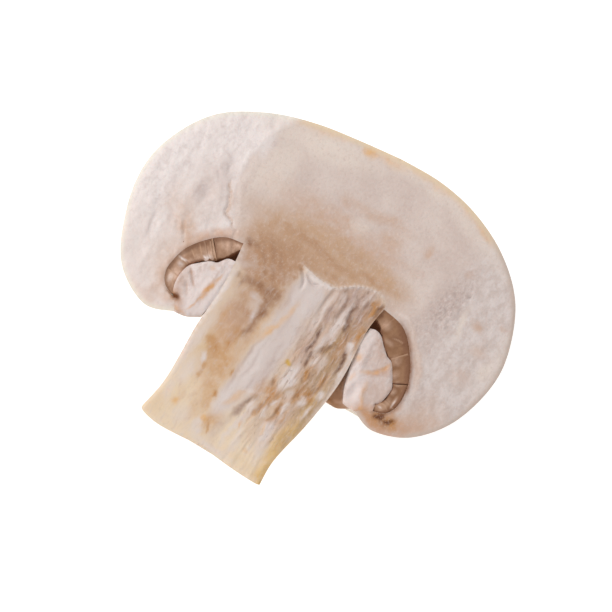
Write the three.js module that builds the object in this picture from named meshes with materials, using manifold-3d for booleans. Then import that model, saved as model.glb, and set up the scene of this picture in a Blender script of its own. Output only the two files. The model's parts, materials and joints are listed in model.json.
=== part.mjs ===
// Half of a closed button mushroom, cut lengthwise through its cap and stem, lying on its rounded back.
// The mushroom grows up its own Y axis and is cut by its own plane z = 0, with the kept half behind it (z <= 0).
// Every piece is worked out between two sections in that plane: the right one at azimuth 0 and the left one at
// azimuth 180 degrees. A section is made of stretches of [distance from the axis, height] in millimetres, and
// height 0 is about where the gill chamber's roof meets the stem.
import * as THREE from "three";
import { mergeVertices } from "three/addons/utils/BufferGeometryUtils.js";
import Module from "manifold-3d";

const wasm = await Module();
wasm.setup();

// How the half lies, in degrees: it settles on the dome of its cap, with the cut face up, the stem's end lowered
// and the cap's heavier side down.
const leanBack = 18.8;
const rollOver = 1;
const pressedFlat = 0.4; // how far its soft dome is pressed in where it carries the half

// Beyond a ridge on the left the flesh tore off below the knife, and that facet falls away to the skin.
const tornRidge = 12.6; // distance from the axis
const tornSlope = 8; // degrees

const gillCount = 48;
const gillThickness = 0.3;
const joinGap = 0.3; // left between neighbouring pieces
const azimuthSteps = 30;

// The cap: skin from the crown round to the margin, the seam with the veil, the roof of the gill chamber,
// and the seat on the stem's top back to the axis.
const capCrown = 17.65;
const capSeat = 1.8;
const capRight = {
  skin: [[0, capCrown], [5, 18], [10, 17.4], [15, 15.4], [19.2, 11.9], [21.8, 6.9], [22.4, 2.4], [21.2, -2.9],
    [18.3, -6.9], [14.4, -8.7], [11.6, -8.05]],
  seam: [[11.6, -8.05], [12.3, -7.2], [13.4, -6.8]],
  roof: [[13.4, -6.8], [14.7, -6.1], [15.15, -4.4], [14.6, -1.8], [12.7, 1], [10.6, 2.6], [8.1, 3.2]],
  seat: [[8.1, 3.2], [6.2, 4.15], [4.6, 3.8], [3, 2.6], [1.6, 1.9], [0, capSeat]],
};
const capLeft = {
  skin: [[0, capCrown], [5, 16.7], [10, 15.5], [15, 13.5], [19.6, 10.2], [22.2, 5.7], [23.1, 1], [22, -4],
    [19, -9.3], [14.4, -11.6], [11, -10.4]],
  seam: [[11, -10.4], [11.4, -9.7], [12.1, -9.2]],
  roof: [[12.1, -9.2], [13.5, -8.5], [14.4, -6.3], [13.8, -3.8], [12.4, -1.6], [10.9, -0.3], [9.1, 0.3]],
  seat: [[9.1, 0.3], [7.6, 1.45], [6, 2.3], [4, 2.5], [2, 2.1], [0, capSeat]],
};

// The stem: its rounded top under the cap's seat, its side, and the end where it was cut from the ground.
const stemTop = capSeat - joinGap;
const stemEnd = -20.95;
const stemRight = {
  top: [[0, stemTop], [1.7, 1.6], [3.1, 2.35], [4.7, 3.5], [6.1, 3.83], [7.75, 2.95]],
  side: [[7.75, 2.95], [7.45, 0.6], [7.75, -2], [8.3, -5], [8.45, -8], [8.1, -12.5], [7.4, -17.5], [7.65, -20.75]],
  end: [[7.65, -20.75], [4, -21], [0, stemEnd]],
};
const stemLeft = {
  top: [[0, stemTop], [2, 1.8], [4, 2.18], [5.9, 1.97], [7.5, 1.1], [8.8, 0]],
  side: [[8.8, 0], [8.5, -2], [8.2, -4.5], [8.1, -7.5], [8.05, -10.5], [7.75, -14], [7.5, -17.5], [7.95, -21.15]],
  end: [[7.95, -21.15], [5, -21.55], [0, stemEnd]],
};

// The veil: the closed skirt between the cap's margin and the stem, under the gills. Its roof faces the gills,
// its seam the margin, its hem the ground and its lining the stem.
const veilRight = {
  roof: [[7.9, 0.35], [9, 0.5], [10.3, -0.5], [11.5, -1.6], [12.5, -3], [13.1, -4.6], [12.7, -6]],
  seam: [[12.7, -6], [12.4, -6.6], [11.9, -7.15], [11.2, -7.9]],
  hem: [[11.2, -7.9], [10.6, -8.25], [9.9, -8.1]],
  lining: [[9.9, -8.1], [9.2, -6.6], [8.7, -4.8], [8.2, -2.4], [7.9, 0.35]],
};
const veilLeft = {
  roof: [[8.95, -2.3], [9.7, -2.75], [10.8, -3.9], [11.9, -4.9], [12.5, -6.2], [12.4, -7.7], [11.8, -8.7]],
  seam: [[11.8, -8.7], [11.4, -9.1], [11, -9.6], [10.6, -10.2]],
  hem: [[10.6, -10.2], [9.6, -10.2], [8.6, -9.6]],
  lining: [[8.6, -9.6], [8.45, -7.6], [8.5, -6], [8.65, -4.2], [8.95, -2.3]],
};

// A gill: a thin crescent hung along the chamber's roof, with its free edge towards the veil.
const gillRight = {
  root: [[8.2, 2.5], [9.6, 2.6], [11.2, 1.9], [12.8, 0.4], [14.2, -2], [14.75, -4.4], [14.3, -5.9], [13.3, -6.35]],
  edge: [[13.3, -6.35], [13.6, -5], [13.2, -3.6], [12.2, -2.1], [11, -0.8], [9.4, 0.8], [8.2, 2.5]],
};
const gillLeft = {
  root: [[9.3, -0.1], [10.5, -0.45], [11.8, -1.5], [13.2, -3.6], [14, -6.2], [13.7, -7.5], [13.1, -8.3], [12.3, -8.8]],
  edge: [[12.3, -8.8], [12.95, -7.6], [12.9, -6], [12.2, -4.4], [11.1, -3.4], [10, -2.3], [9.3, -0.1]],
};

const skinMaterial = new THREE.MeshStandardMaterial({ color: "#e2d6cb", roughness: 0.62 });
const stemMaterial = new THREE.MeshStandardMaterial({ color: "#dcc7ab", roughness: 0.7 });
const veilMaterial = new THREE.MeshStandardMaterial({ color: "#e6ddd6", roughness: 0.66 });
const gillMaterial = new THREE.MeshStandardMaterial({ color: "#a58873", roughness: 0.72 });

// One closed section from its named stretches: a smooth curve through each one's points, evenly sampled.
// Two stretches meet at one point, which is written once.
function section(stretches, samples) {
  const outline = [];
  for (const [name, points] of Object.entries(stretches)) {
    const curve = new THREE.SplineCurve(points.map(([r, y]) => new THREE.Vector2(r, y)));
    outline.push(...curve.getSpacedPoints(samples[name]).slice(0, -1));
  }
  const stretchEnds = Object.values(stretches);
  const [lastR, lastY] = stretchEnds.at(-1).at(-1);
  const [firstR, firstY] = stretchEnds[0][0];
  if (lastR !== firstR || lastY !== firstY) outline.push(new THREE.Vector2(lastR, lastY));
  return outline;
}

// The section at one azimuth. The cosine keeps the crown smooth where the two halves differ in slope.
function sectionAt(azimuth, right, left) {
  const leftShare = (1 - Math.cos(azimuth)) / 2;
  return right.map((point, i) => point.clone().lerp(left[i], leftShare));
}

// Sweeps a section half way round the axis, from the right cut face to the left one, as one closed surface.
function halfTurn(right, left) {
  const positions = [];
  const faces = [];
  const rings = [];
  const onAxis = new Map();
  for (let step = 0; step <= azimuthSteps; step++) {
    const azimuth = (Math.PI * step) / azimuthSteps;
    const outline = sectionAt(azimuth, right, left);
    rings.push(outline.map(({ x: r, y }, i) => {
      if (onAxis.has(i)) return onAxis.get(i);
      positions.push(r * Math.cos(azimuth), y, -r * Math.sin(azimuth));
      const index = positions.length / 3 - 1;
      if (r === 0) onAxis.set(i, index);
      return index;
    }));
  }
  const addFace = (a, b, c) => {
    if (a !== b && b !== c && c !== a) faces.push(a, b, c);
  };
  for (let step = 0; step < azimuthSteps; step++) {
    const [ring, next] = [rings[step], rings[step + 1]];
    ring.forEach((corner, i) => {
      const j = (i + 1) % ring.length;
      addFace(corner, ring[j], next[j]);
      addFace(corner, next[j], next[i]);
    });
  }
  for (const [a, b, c] of THREE.ShapeUtils.triangulateShape(right, [])) {
    addFace(rings[0][a], rings[0][b], rings[0][c]);
  }
  for (const [a, b, c] of THREE.ShapeUtils.triangulateShape(left, [])) {
    addFace(rings.at(-1)[a], rings.at(-1)[c], rings.at(-1)[b]);
  }
  const geometry = new THREE.BufferGeometry();
  geometry.setAttribute("position", new THREE.Float32BufferAttribute(positions, 3));
  geometry.setIndex(faces);
  geometry.computeVertexNormals();
  return geometry;
}

function toSolid(geometry) {
  const bare = geometry.clone();
  bare.deleteAttribute("normal");
  bare.deleteAttribute("uv");
  const merged = mergeVertices(bare);
  return new wasm.Manifold(new wasm.Mesh({
    numProp: 3,
    vertProperties: merged.attributes.position.array,
    triVerts: Uint32Array.from(merged.index.array),
  }));
}

// Cuts away what lies beyond the plane through a point, on the side that the plane faces.
function shaveOff(geometry, point, facing) {
  const bladeSize = 120;
  const blade = new THREE.BoxGeometry(bladeSize, bladeSize, bladeSize).translate(0, 0, bladeSize / 2);
  blade.applyQuaternion(new THREE.Quaternion().setFromUnitVectors(new THREE.Vector3(0, 0, 1), facing));
  blade.translate(...point);
  const { vertProperties, triVerts } = toSolid(geometry).subtract(toSolid(blade)).getMesh();
  const rest = new THREE.BufferGeometry();
  rest.setAttribute("position", new THREE.BufferAttribute(vertProperties, 3));
  rest.setIndex(new THREE.BufferAttribute(triVerts, 1));
  rest.computeVertexNormals();
  return rest;
}

function piece(name, geometry, material) {
  const mesh = new THREE.Mesh(geometry, material);
  mesh.name = name;
  return mesh;
}

// The cap is torn off along its facet on the left, and pressed flat on the side that is down once it lies.
function makeCap(lying) {
  const samples = { skin: 27, seam: 3, roof: 12, seat: 9 };
  const whole = halfTurn(section(capRight, samples), section(capLeft, samples));
  const slope = THREE.MathUtils.degToRad(tornSlope);
  const ridge = new THREE.Vector3(-tornRidge, 0, 0);
  const torn = shaveOff(whole, ridge, new THREE.Vector3(-Math.sin(slope), 0, Math.cos(slope)));
  const down = new THREE.Vector3(0, 0, -1).applyQuaternion(lying.clone().invert());
  const reach = new THREE.Box3().setFromBufferAttribute(torn.clone().applyQuaternion(lying).attributes.position);
  const floor = down.clone().multiplyScalar(-reach.min.z - pressedFlat);
  return piece("cap", shaveOff(torn, floor, down), skinMaterial);
}

function makeStem() {
  const samples = { top: 9, side: 14, end: 3 };
  return piece("stem", halfTurn(section(stemRight, samples), section(stemLeft, samples)), stemMaterial);
}

function makeVeil() {
  const samples = { roof: 9, seam: 3, hem: 2, lining: 6 };
  return piece("veil", halfTurn(section(veilRight, samples), section(veilLeft, samples)), veilMaterial);
}

// The gills stand round the axis like the leaves of a fan, each a flat plate along its own radius.
function makeGills() {
  const samples = { root: 9, edge: 8 };
  const right = section(gillRight, samples);
  const left = section(gillLeft, samples);
  const gills = new THREE.Group();
  for (let i = 0; i < gillCount; i++) {
    const azimuth = ((i + 0.5) * Math.PI) / gillCount;
    const plate = new THREE.ExtrudeGeometry(new THREE.Shape(sectionAt(azimuth, right, left)), {
      depth: gillThickness,
      bevelEnabled: false,
    }).translate(0, 0, -gillThickness / 2);
    const gill = piece(`gill_${String(i + 1).padStart(2, "0")}`, plate, gillMaterial);
    gill.rotation.y = azimuth;
    gills.add(gill);
  }
  return gills;
}

const half = new THREE.Group();
half.rotation.set(THREE.MathUtils.degToRad(leanBack), THREE.MathUtils.degToRad(rollOver), 0);
half.add(makeCap(half.quaternion), makeStem(), makeVeil(), makeGills());

// The origin is under the middle of the half, on the surface that it lies on.
const extent = new THREE.Box3().setFromObject(half, true);
const middle = extent.getCenter(new THREE.Vector3());
half.position.set(-middle.x, -middle.y, -extent.min.z);

const mushroom = new THREE.Group();
mushroom.add(half);

export default mushroom;
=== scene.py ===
import json
from math import asin, atan2, cos, pi, radians, sin

import bpy
import numpy as np
from mathutils import Matrix, Vector, noise
from mathutils.geometry import delaunay_2d_cdt
from mathutils.kdtree import KDTree


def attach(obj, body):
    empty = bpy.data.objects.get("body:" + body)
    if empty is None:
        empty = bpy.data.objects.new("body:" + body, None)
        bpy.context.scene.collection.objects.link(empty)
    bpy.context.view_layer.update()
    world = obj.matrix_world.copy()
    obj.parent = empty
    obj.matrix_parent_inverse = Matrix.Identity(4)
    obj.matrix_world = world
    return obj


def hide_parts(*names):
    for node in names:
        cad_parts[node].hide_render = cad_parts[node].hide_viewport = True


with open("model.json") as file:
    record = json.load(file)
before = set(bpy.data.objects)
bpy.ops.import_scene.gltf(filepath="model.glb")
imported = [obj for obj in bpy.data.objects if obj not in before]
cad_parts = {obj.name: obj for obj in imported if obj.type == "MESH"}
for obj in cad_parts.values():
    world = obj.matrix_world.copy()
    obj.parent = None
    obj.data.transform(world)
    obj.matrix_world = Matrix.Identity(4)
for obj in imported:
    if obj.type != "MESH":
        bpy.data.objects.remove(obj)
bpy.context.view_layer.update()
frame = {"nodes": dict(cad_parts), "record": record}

# All is modelled in the mushroom's own frame, in millimetres: u across the cut face to the right, v up the
# stem towards the crown, w out of the cut face. The mount on the cut face says how that frame lies.
cutMount = frame["record"]["mounts"][0]
mountPlace = (0, 10, 0)  # of that mount, in the mushroom's frame
faceOut = Vector(cutMount["axis"])
laidBack = Matrix.Rotation(atan2(-faceOut.y, faceOut.z), 4, "X") @ Matrix.Rotation(asin(faceOut.x), 4, "Y")
toRow = (Matrix.Translation(cutMount["pos_m"]) @ laidBack @ Matrix.Scale(0.001, 4)
         @ Matrix.Translation(mountPlace).inverted())
fromRow = toRow.inverted()

# Stretches of the two sections in the cut plane, right and left, as distance from the axis and height.
sections = {
    "skin": {
        "right": [
            (0, 17.65), (5, 18.05), (10, 17.4), (15, 15.4), (19.2, 11.95), (21.8, 6.9), (22.4, 2.4),
            (21.2, -2.9), (18.3, -6.9), (14.4, -8.7), (11.6, -8.05)],
        "left": [
            (0, 17.65), (5, 16.7), (10, 15.5), (15, 13.5), (19.6, 10.2), (22.2, 5.7), (23.1, 1), (22, -4),
            (19, -9.3), (14.4, -11.6), (11, -10.4)],
    },
    "seam": {
        "right": [(11.6, -8.05), (12.2, -7.4), (13.2, -6.9)],
        "left": [(11, -10.4), (11.4, -9.7), (12, -9.1)],
    },
    "roof": {
        "right": [
            (13.2, -6.9), (14.6, -6.2), (15.15, -4.5), (14.6, -1.9), (12.7, 0.9), (10.6, 2.6), (7.85, 3)],
        "left": [
            (12, -9.1), (13.4, -8.6), (14.2, -7.6), (14.4, -6.3), (13.95, -4), (12.6, -1.9), (11, -0.45),
            (9, 0.1)],
    },
    "seat": {
        "right": [
            (7.85, 3), (7.6, 3.75), (6.9, 4.1), (6, 4.12), (5.2, 3.95), (4.4, 3.6), (3.7, 3.15), (2.9, 2.5),
            (2.1, 1.85), (1.2, 1.7), (0, 1.65)],
        "left": [(9, 0.1), (7.5, 1.3), (6, 2.15), (4, 2.35), (2, 1.95), (0, 1.65)],
    },
    "stemSide": {
        "right": [
            (7.85, 3), (7.65, 0.6), (7.9, -2), (8.35, -5), (8.45, -8), (8.1, -12.5), (7.4, -17.5),
            (7.6, -20.4)],
        "left": [
            (9, 0.1), (8.6, -2), (8.25, -4.5), (8.15, -7.5), (8.1, -10.5), (7.75, -14), (7.55, -17.5),
            (7.95, -20.8)],
    },
    "stemEnd": {
        "right": [(7.6, -20.4), (7.3, -20.8), (4, -20.95), (0, -20.85)],
        "left": [(7.95, -20.8), (7.6, -21.3), (5, -21.55), (0, -20.85)],
    },
    "veilRoof": {
        "right": [
            (7.8, 0.4), (8.4, 0.62), (9.2, 0.45), (10.1, -0.3), (11.1, -1.05), (11.8, -1.25), (12.6, -2.2),
            (13.2, -3.1), (13.55, -3.8), (13.5, -5.2), (13.1, -6.3), (13.2, -6.9)],
        "left": [
            (8.5, -2), (9.45, -2.25), (10.15, -3.25), (10.9, -3.6), (11.85, -4.5), (12.62, -5.42),
            (12.85, -6.8), (12.6, -8.2), (12, -9.1)],
    },
    "veilSeam": {
        "right": [(13.2, -6.9), (12.2, -7.4), (11.6, -8.05)],
        "left": [(12, -9.1), (11.4, -9.7), (11, -10.4)],
    },
    "veilHem": {
        "right": [(11.6, -8.05), (10.8, -8.15), (10.05, -8.1)],
        "left": [(11, -10.4), (9.7, -10.15), (8.3, -9.3)],
    },
    "veilLining": {
        "right": [
            (10.05, -8.1), (9.2, -6.6), (8.6, -4.9), (8.15, -3.4), (7.85, -2.2), (7.75, -0.6), (7.8, 0.4)],
        "left": [(8.3, -9.3), (8.1, -7.5), (8.13, -6), (8.28, -4.2), (8.5, -2)],
    },
    "gillRoot": {
        "right": [
            (7.5, 2.85), (9, 3), (10, 2.8), (11, 2.2), (12, 1.35), (13, 0.25), (14, -1.2), (14.6, -2.4),
            (15, -4.4), (14.6, -5.9), (14, -6.6), (13.3, -6.85)],
        "left": [
            (8.6, 0.1), (9.4, 0.05), (10.5, -0.25), (11.6, -1), (12.7, -2.2), (13.6, -3.5), (14.15, -5),
            (14.35, -6.4), (14.1, -7.6), (13.4, -8.5), (12.4, -9)],
    },
    "gillEdge": {
        "right": [
            (7.5, 1.6), (8.3, 1.4), (9.1, 0.8), (10, -0.1), (11, -0.9), (11.6, -1.15), (12.2, -2), (13, -3),
            (13.5, -3.4), (13.65, -4.2), (13.6, -5.2), (13.1, -6.1), (12.9, -6.4)],
        "left": [
            (8.6, -0.4), (9.1, -1), (9.5, -1.8), (9.85, -2.4), (10.7, -3.3), (11.3, -3.75), (12.1, -4.5),
            (12.7, -5.5), (12.8, -6.8), (12.6, -7.8), (12, -8.6)],
    },
}


def smoothLine(points, count):
    # A curve through the points, cut into evenly spaced samples
    p = np.array(points, float)
    p0, p1, p2, p3 = np.vstack([p[:1], p[:-2]]), p[:-1], p[1:], np.vstack([p[2:], p[-1:]])
    t = np.linspace(0, 1, 33)[:-1, None, None]  # 32 short steps from each point to the next
    v0, v1 = (p2 - p0) / 2, (p3 - p1) / 2
    fine = (2 * p1 - 2 * p2 + v0 + v1) * t**3 + (3 * p2 - 3 * p1 - 2 * v0 - v1) * t**2 + v0 * t + p1
    fine = np.vstack([fine.transpose(1, 0, 2).reshape(-1, 2), p[-1:]])
    walked = np.concatenate([[0], np.cumsum(np.hypot(*np.diff(fine, axis=0).T))])
    at = np.linspace(0, walked[-1], count)
    return np.column_stack([np.interp(at, walked, fine[:, 0]), np.interp(at, walked, fine[:, 1])])


def outlineOf(stretches, side):
    # One side's outline from its stretches; a name that starts with a minus runs backwards
    parts = []
    for name, count in stretches:
        line = smoothLine(sections[name.strip("-")][side], count)
        line = line[::-1] if name.startswith("-") else line
        parts.append(line[:-1])
    outline = np.vstack(parts)
    if not np.allclose(line[-1], outline[0]):
        outline = np.vstack([outline, line[-1:]])
    return outline


def bothSides(name, count):
    right, left = (smoothLine(sections[name][side], count) for side in ("right", "left"))
    return np.vstack([right, left * (-1, 1)])


def ease(low, high, x):
    t = np.clip((x - low) / (high - low), 0, 1)
    return t * t * (3 - 2 * t)


def lumps(u, v, size, octaves=3, seed=0):
    # Fractal noise of about -1 to 1 over the cut face, with lumps of the given size across and up
    wide, high = size if isinstance(size, tuple) else (size, size)
    places = zip(u / wide, v / high)
    return np.array([noise.fractal((a, b, 7.3 * seed), 1.0, 2.0, octaves) for a, b in places])


def strokes(u, v, paths, width):
    # 1 on any of the paths, fading to 0 away from them and at their ends
    shade = np.zeros_like(u)
    for path in paths:
        line = smoothLine(path, 24)
        away = np.hypot(u[:, None] - line[:, 0], v[:, None] - line[:, 1])
        near = away.argmin(axis=1)
        taper = np.sin(pi * (near + 1) / (len(line) + 1)) ** 0.5
        shade = np.maximum(shade, taper * np.exp(-((away.min(axis=1) / width) ** 2)))
    return shade


def spot(u, v, centre, size):
    # 1 in the middle of an oval, 0 outside it
    return ease(1, 0, np.hypot((u - centre[0]) / size[0], (v - centre[1]) / size[1]))


def inOutline(points, outline):
    inside = np.zeros(len(points), bool)
    x, y = points.T
    for (x0, y0), (x1, y1) in zip(outline, np.roll(outline, -1, axis=0)):
        if y0 != y1:
            inside ^= ((y0 > y) != (y1 > y)) & (x < (x1 - x0) * (y - y0) / (y1 - y0) + x0)
    return inside


def nearest(u, v, marks):
    # Distance from each point to the nearest mark
    tree = KDTree(len(marks))
    for i, mark in enumerate(marks):
        tree.insert((*mark, 0), i)
    tree.balance()
    return np.array([tree.find((a, b, 0))[2] for a, b in zip(u, v)])


def fillFlat(outline, spacing):
    # Spreads points evenly inside a closed outline and joins them into triangles
    low, high = outline.min(axis=0), outline.max(axis=0)
    rows = np.arange(low[1], high[1], spacing * 0.866)  # rows of even triangles
    columns = np.arange(low[0], high[0], spacing)
    spread = np.array([(x + spacing / 2 * (j % 2), y) for j, y in enumerate(rows) for x in columns])
    spread = spread[inOutline(spread, outline)]
    spread = spread[nearest(*spread.T, outline) > spacing * 0.65]
    points = np.vstack([outline, spread])
    count = len(outline)
    rim = [(i, (i + 1) % count) for i in range(count)]
    _, _, faces, origins, _, _ = delaunay_2d_cdt([Vector(p) for p in points], rim, [], 1, 1e-7)
    return points, [tuple(origins[i][0] for i in face) for face in faces]


# The cut face of the cap and the stem: how the knife and the tears left it, in millimetres.
cutFace = {
    "waves": 0.09,
    "grain": 0.012,
    "tornFall": 0.13,  # drop for each millimetre beyond the ridge
    "tornStep": 0.05,
    "tornLumps": 0.075,
    "ridgeHeight": 0.07,
    "crackDepth": 0.3,
    "crackWidth": 0.16,
    "dimpleDepth": 0.16,
    "pitDepth": 0.14,
    "bruiseDepth": 0.05,
    "lipHeight": 0.16,
    "lipWidth": 0.24,
    "fibreDepth": 0.08,
    "furrowDepth": 0.14,
    "furrowWidth": 0.14,
    "capRounding": 0.12,  # how far the rim falls; more where the flesh is torn
    "tornRounding": 0.2,
    "stemRounding": 0.18,
    "pitted": ((13.8, 6.2), (2.6, 5)),
    "paleLine": [(-0.9, 1.35), (0, 1.3), (1, 1.45)],  # a second pale line below the lip
    "ridge": [
        (-11.6, 15.6), (-12.4, 14), (-13.2, 12), (-13.7, 9.8), (-13.9, 8), (-13.8, 6.2), (-13.3, 4.3),
        (-12.5, 2.6), (-11.6, 1.3), (-10.8, 0.7), (-10.4, -1)],
    "cracks": [
        [
            (-14.1, 4.9), (-13.9, 4.3), (-13.35, 3.8), (-13.1, 3.1), (-12.75, 2.6), (-12.7, 1.9),
            (-12.1, 1.5), (-11.5, 1.35), (-11.1, 0.95), (-10.5, 0.8), (-10.3, 0)],
        [(-2.3, 1.6), (-1.9, 1.3), (-1.5, 0.9), (-1.1, 0.3), (-0.95, -0.4)],
        [(-1.3, 1.3), (-0.7, 1), (-0.1, 0.8), (0.5, 1.1)], [(14.9, 9.6), (14.8, 9.3)]],
    "lip": [
        (-2.4, 2.05), (-1.9, 1.8), (-1, 1.75), (0, 1.65), (1.2, 1.7), (2.1, 1.85), (2.9, 2.5), (3.7, 3.15),
        (4.4, 3.6), (5.2, 3.95), (6, 4.12), (6.9, 4.1), (7.7, 3.7)],
    "furrows": [
        [(3.3, -2.4), (3.45, -3.2), (3.55, -4.2), (3.5, -5.7)], [(4, -5.3), (4.15, -6.2), (4.2, -7.1)],
        [(5.3, 1.5), (5.1, 0.5), (5.3, -0.5), (5.7, -1.4)], [(7.15, -3.5), (7.45, -4), (7.5, -5.4)],
        [(2.1, 1.6), (2, 0), (2.1, -2)], [(1.5, -13.4), (1.2, -14.2)],
        [(3.9, 1.9), (4.2, 0.4), (4.1, -0.9)], [(3.1, 0.2), (3.2, -1.6)],
        [(4.6, -12), (4.6, -13.4), (4.3, -14.3)], [(2.9, -13), (2.8, -14.5)], [(5.4, -9.4), (5.3, -10.8)],
        [(6.9, -6.4), (7, -8), (6.6, -9.6)], [(2.3, -10.1), (2.6, -11)], [(7.4, 2.9), (7.35, 2.2)],
        [(7.6, 3.3), (7.5, 1.6)], [(-17.4, -2.1), (-16.9, -1.8), (-16.3, -2.1), (-16.1, -2.6)],
        [(-16, -1.4), (-15.2, -2.5), (-14.5, -3.5)], [(-18.9, -2.6), (-18.7, -3.8), (-18.2, -5)],
        [(-15.2, 6.4), (-14.8, 5.6)], [(-15.9, 5.2), (-15.3, 4.6)]],
    "dimples": [((-15.6, 2.4), (1.4, 1.8)), ((-15.2, 6.6), (1.2, 1.4)), ((-17.5, -1.5), (1, 2))],
}
skinEdge = bothSides("skin", 300)
stemEdge = np.vstack([bothSides("stemSide", 120), bothSides("stemEnd", 60)])


def tornPart(u, v):
    # How far a place lies beyond the ridge where the knife's cut ends on the left, in millimetres
    ridge = smoothLine(cutFace["ridge"], 60)[::-1]
    wander = 0.35 * lumps(u, v, 2.2, 3, 9) + 0.12 * lumps(u, v, 0.6, 2, 10)
    return np.interp(v, ridge[:, 1], ridge[:, 0]) + wander - u


def relief(u, v):
    # Height of the cut face above its plane
    torn = tornPart(u, v)
    farTorn = ease(0, 5, torn)
    w = cutFace["waves"] * lumps(u, v, 7, 2, 1) + cutFace["grain"] * lumps(u, v, 0.9, 3, 2)
    step = cutFace["tornStep"] * ease(-0.2, 0.6, torn) * ease(13, 7, v)
    w -= cutFace["tornFall"] * np.maximum(torn, 0) + step
    ragged = lumps(u, v, (1.5, 2.6), 3, 3) + 0.5 * lumps(u, v, (0.6, 0.9), 2, 13)
    w += cutFace["tornLumps"] * ease(0, 1.5, torn) * ragged
    rim = np.clip(1 - nearest(u, v, skinEdge) / (0.35 + 1.1 * farTorn), 0, 1)
    w -= (cutFace["capRounding"] + cutFace["tornRounding"] * farTorn) * rim ** 2
    w += cutFace["ridgeHeight"] * strokes(u, v, [cutFace["ridge"][:6]], 0.5)
    w -= cutFace["crackDepth"] * strokes(u, v, cutFace["cracks"], cutFace["crackWidth"])
    for centre, size in cutFace["dimples"]:
        w -= cutFace["dimpleDepth"] * spot(u, v, centre, size)
    w += cutFace["pitDepth"] * spot(u, v, *cutFace["pitted"]) * lumps(u, v, (0.4, 0.8), 3, 4)
    w += cutFace["bruiseDepth"] * ease(14, 17, u) * lumps(u, v, 1.2, 3, 5)
    # the stem's fibres run down from the lip; they are coarser on the right
    inStem = ease(9, 8, np.abs(u)) * ease(0.3, -0.3, v - np.interp(u, *np.array(cutFace["lip"]).T))
    fibres = lumps(u + 0.3 * lumps(u, v, 3, 1, 8), v, (0.38, 3.2), 3, 6)
    w += cutFace["lipHeight"] * strokes(u, v, [cutFace["lip"]], cutFace["lipWidth"])
    w += cutFace["fibreDepth"] * inStem * (0.1 + ease(1, 3, u)) * fibres
    w -= cutFace["furrowDepth"] * strokes(u, v, cutFace["furrows"], cutFace["furrowWidth"])
    edge = np.clip(1 - nearest(u, v, stemEdge) / 0.5, 0, 1)
    w -= cutFace["stemRounding"] * inStem * ease(-3, -5, v) * edge ** 2
    return w


def addObject(name, data):
    made = bpy.data.objects.new(name, data)
    bpy.context.collection.objects.link(made)
    return made


def meshOf(name, verts, faces):
    mesh = bpy.data.meshes.new(name)
    mesh.from_pydata([Vector(p) for p in verts], [], faces)
    return mesh


def addAttribute(piece, name, values):
    layer = piece.data.attributes.new(name, "FLOAT", "POINT")
    layer.data.foreach_set("value", np.asarray(values, np.float32))


def linkPiece(name, mesh):
    # Lays a mesh from the mushroom's frame into the row's, pressed flat where it lies
    mesh.transform(toRow)
    places = np.empty(len(mesh.vertices) * 3)
    mesh.vertices.foreach_get("co", places)
    places[2::3] = np.maximum(places[2::3], 0)
    mesh.vertices.foreach_set("co", places)
    mesh.shade_smooth()
    mesh.update()
    return addObject(name, mesh)


def placesOf(piece):
    # A piece's vertices, back in the mushroom's frame
    places = np.empty(len(piece.data.vertices) * 3)
    piece.data.vertices.foreach_get("co", places)
    return places.reshape(-1, 3) @ np.array(fromRow.to_3x3()).T + np.array(fromRow.to_translation())


def buildMesh(name, verts, faces, onCut=None, creases=()):
    used = sorted({i for face in faces for i in face})
    renumber = {old: new for new, old in enumerate(used)}
    mesh = meshOf(name, [verts[i] for i in used], [[renumber[i] for i in face] for face in faces])
    if creases:
        pairs = {tuple(sorted((renumber[a], renumber[b]))) for a, b in creases if a != b}
        sharp = mesh.attributes.new("sharp_edge", "BOOLEAN", "EDGE")
        sharp.data.foreach_set("value", [tuple(sorted(edge.vertices)) in pairs for edge in mesh.edges])
    piece = linkPiece(name, mesh)
    if onCut is not None:
        addAttribute(piece, "cut", onCut[used])
    return piece


def sideTurn(outline, height):
    # How far round the axis a section's cut edge lies, for its height above the cut plane. It is held back
    # near the axis, where it would grow without end.
    return np.arcsin(np.clip(-height / np.maximum(outline[:, 0], 2), -0.3, 0.3))


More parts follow.
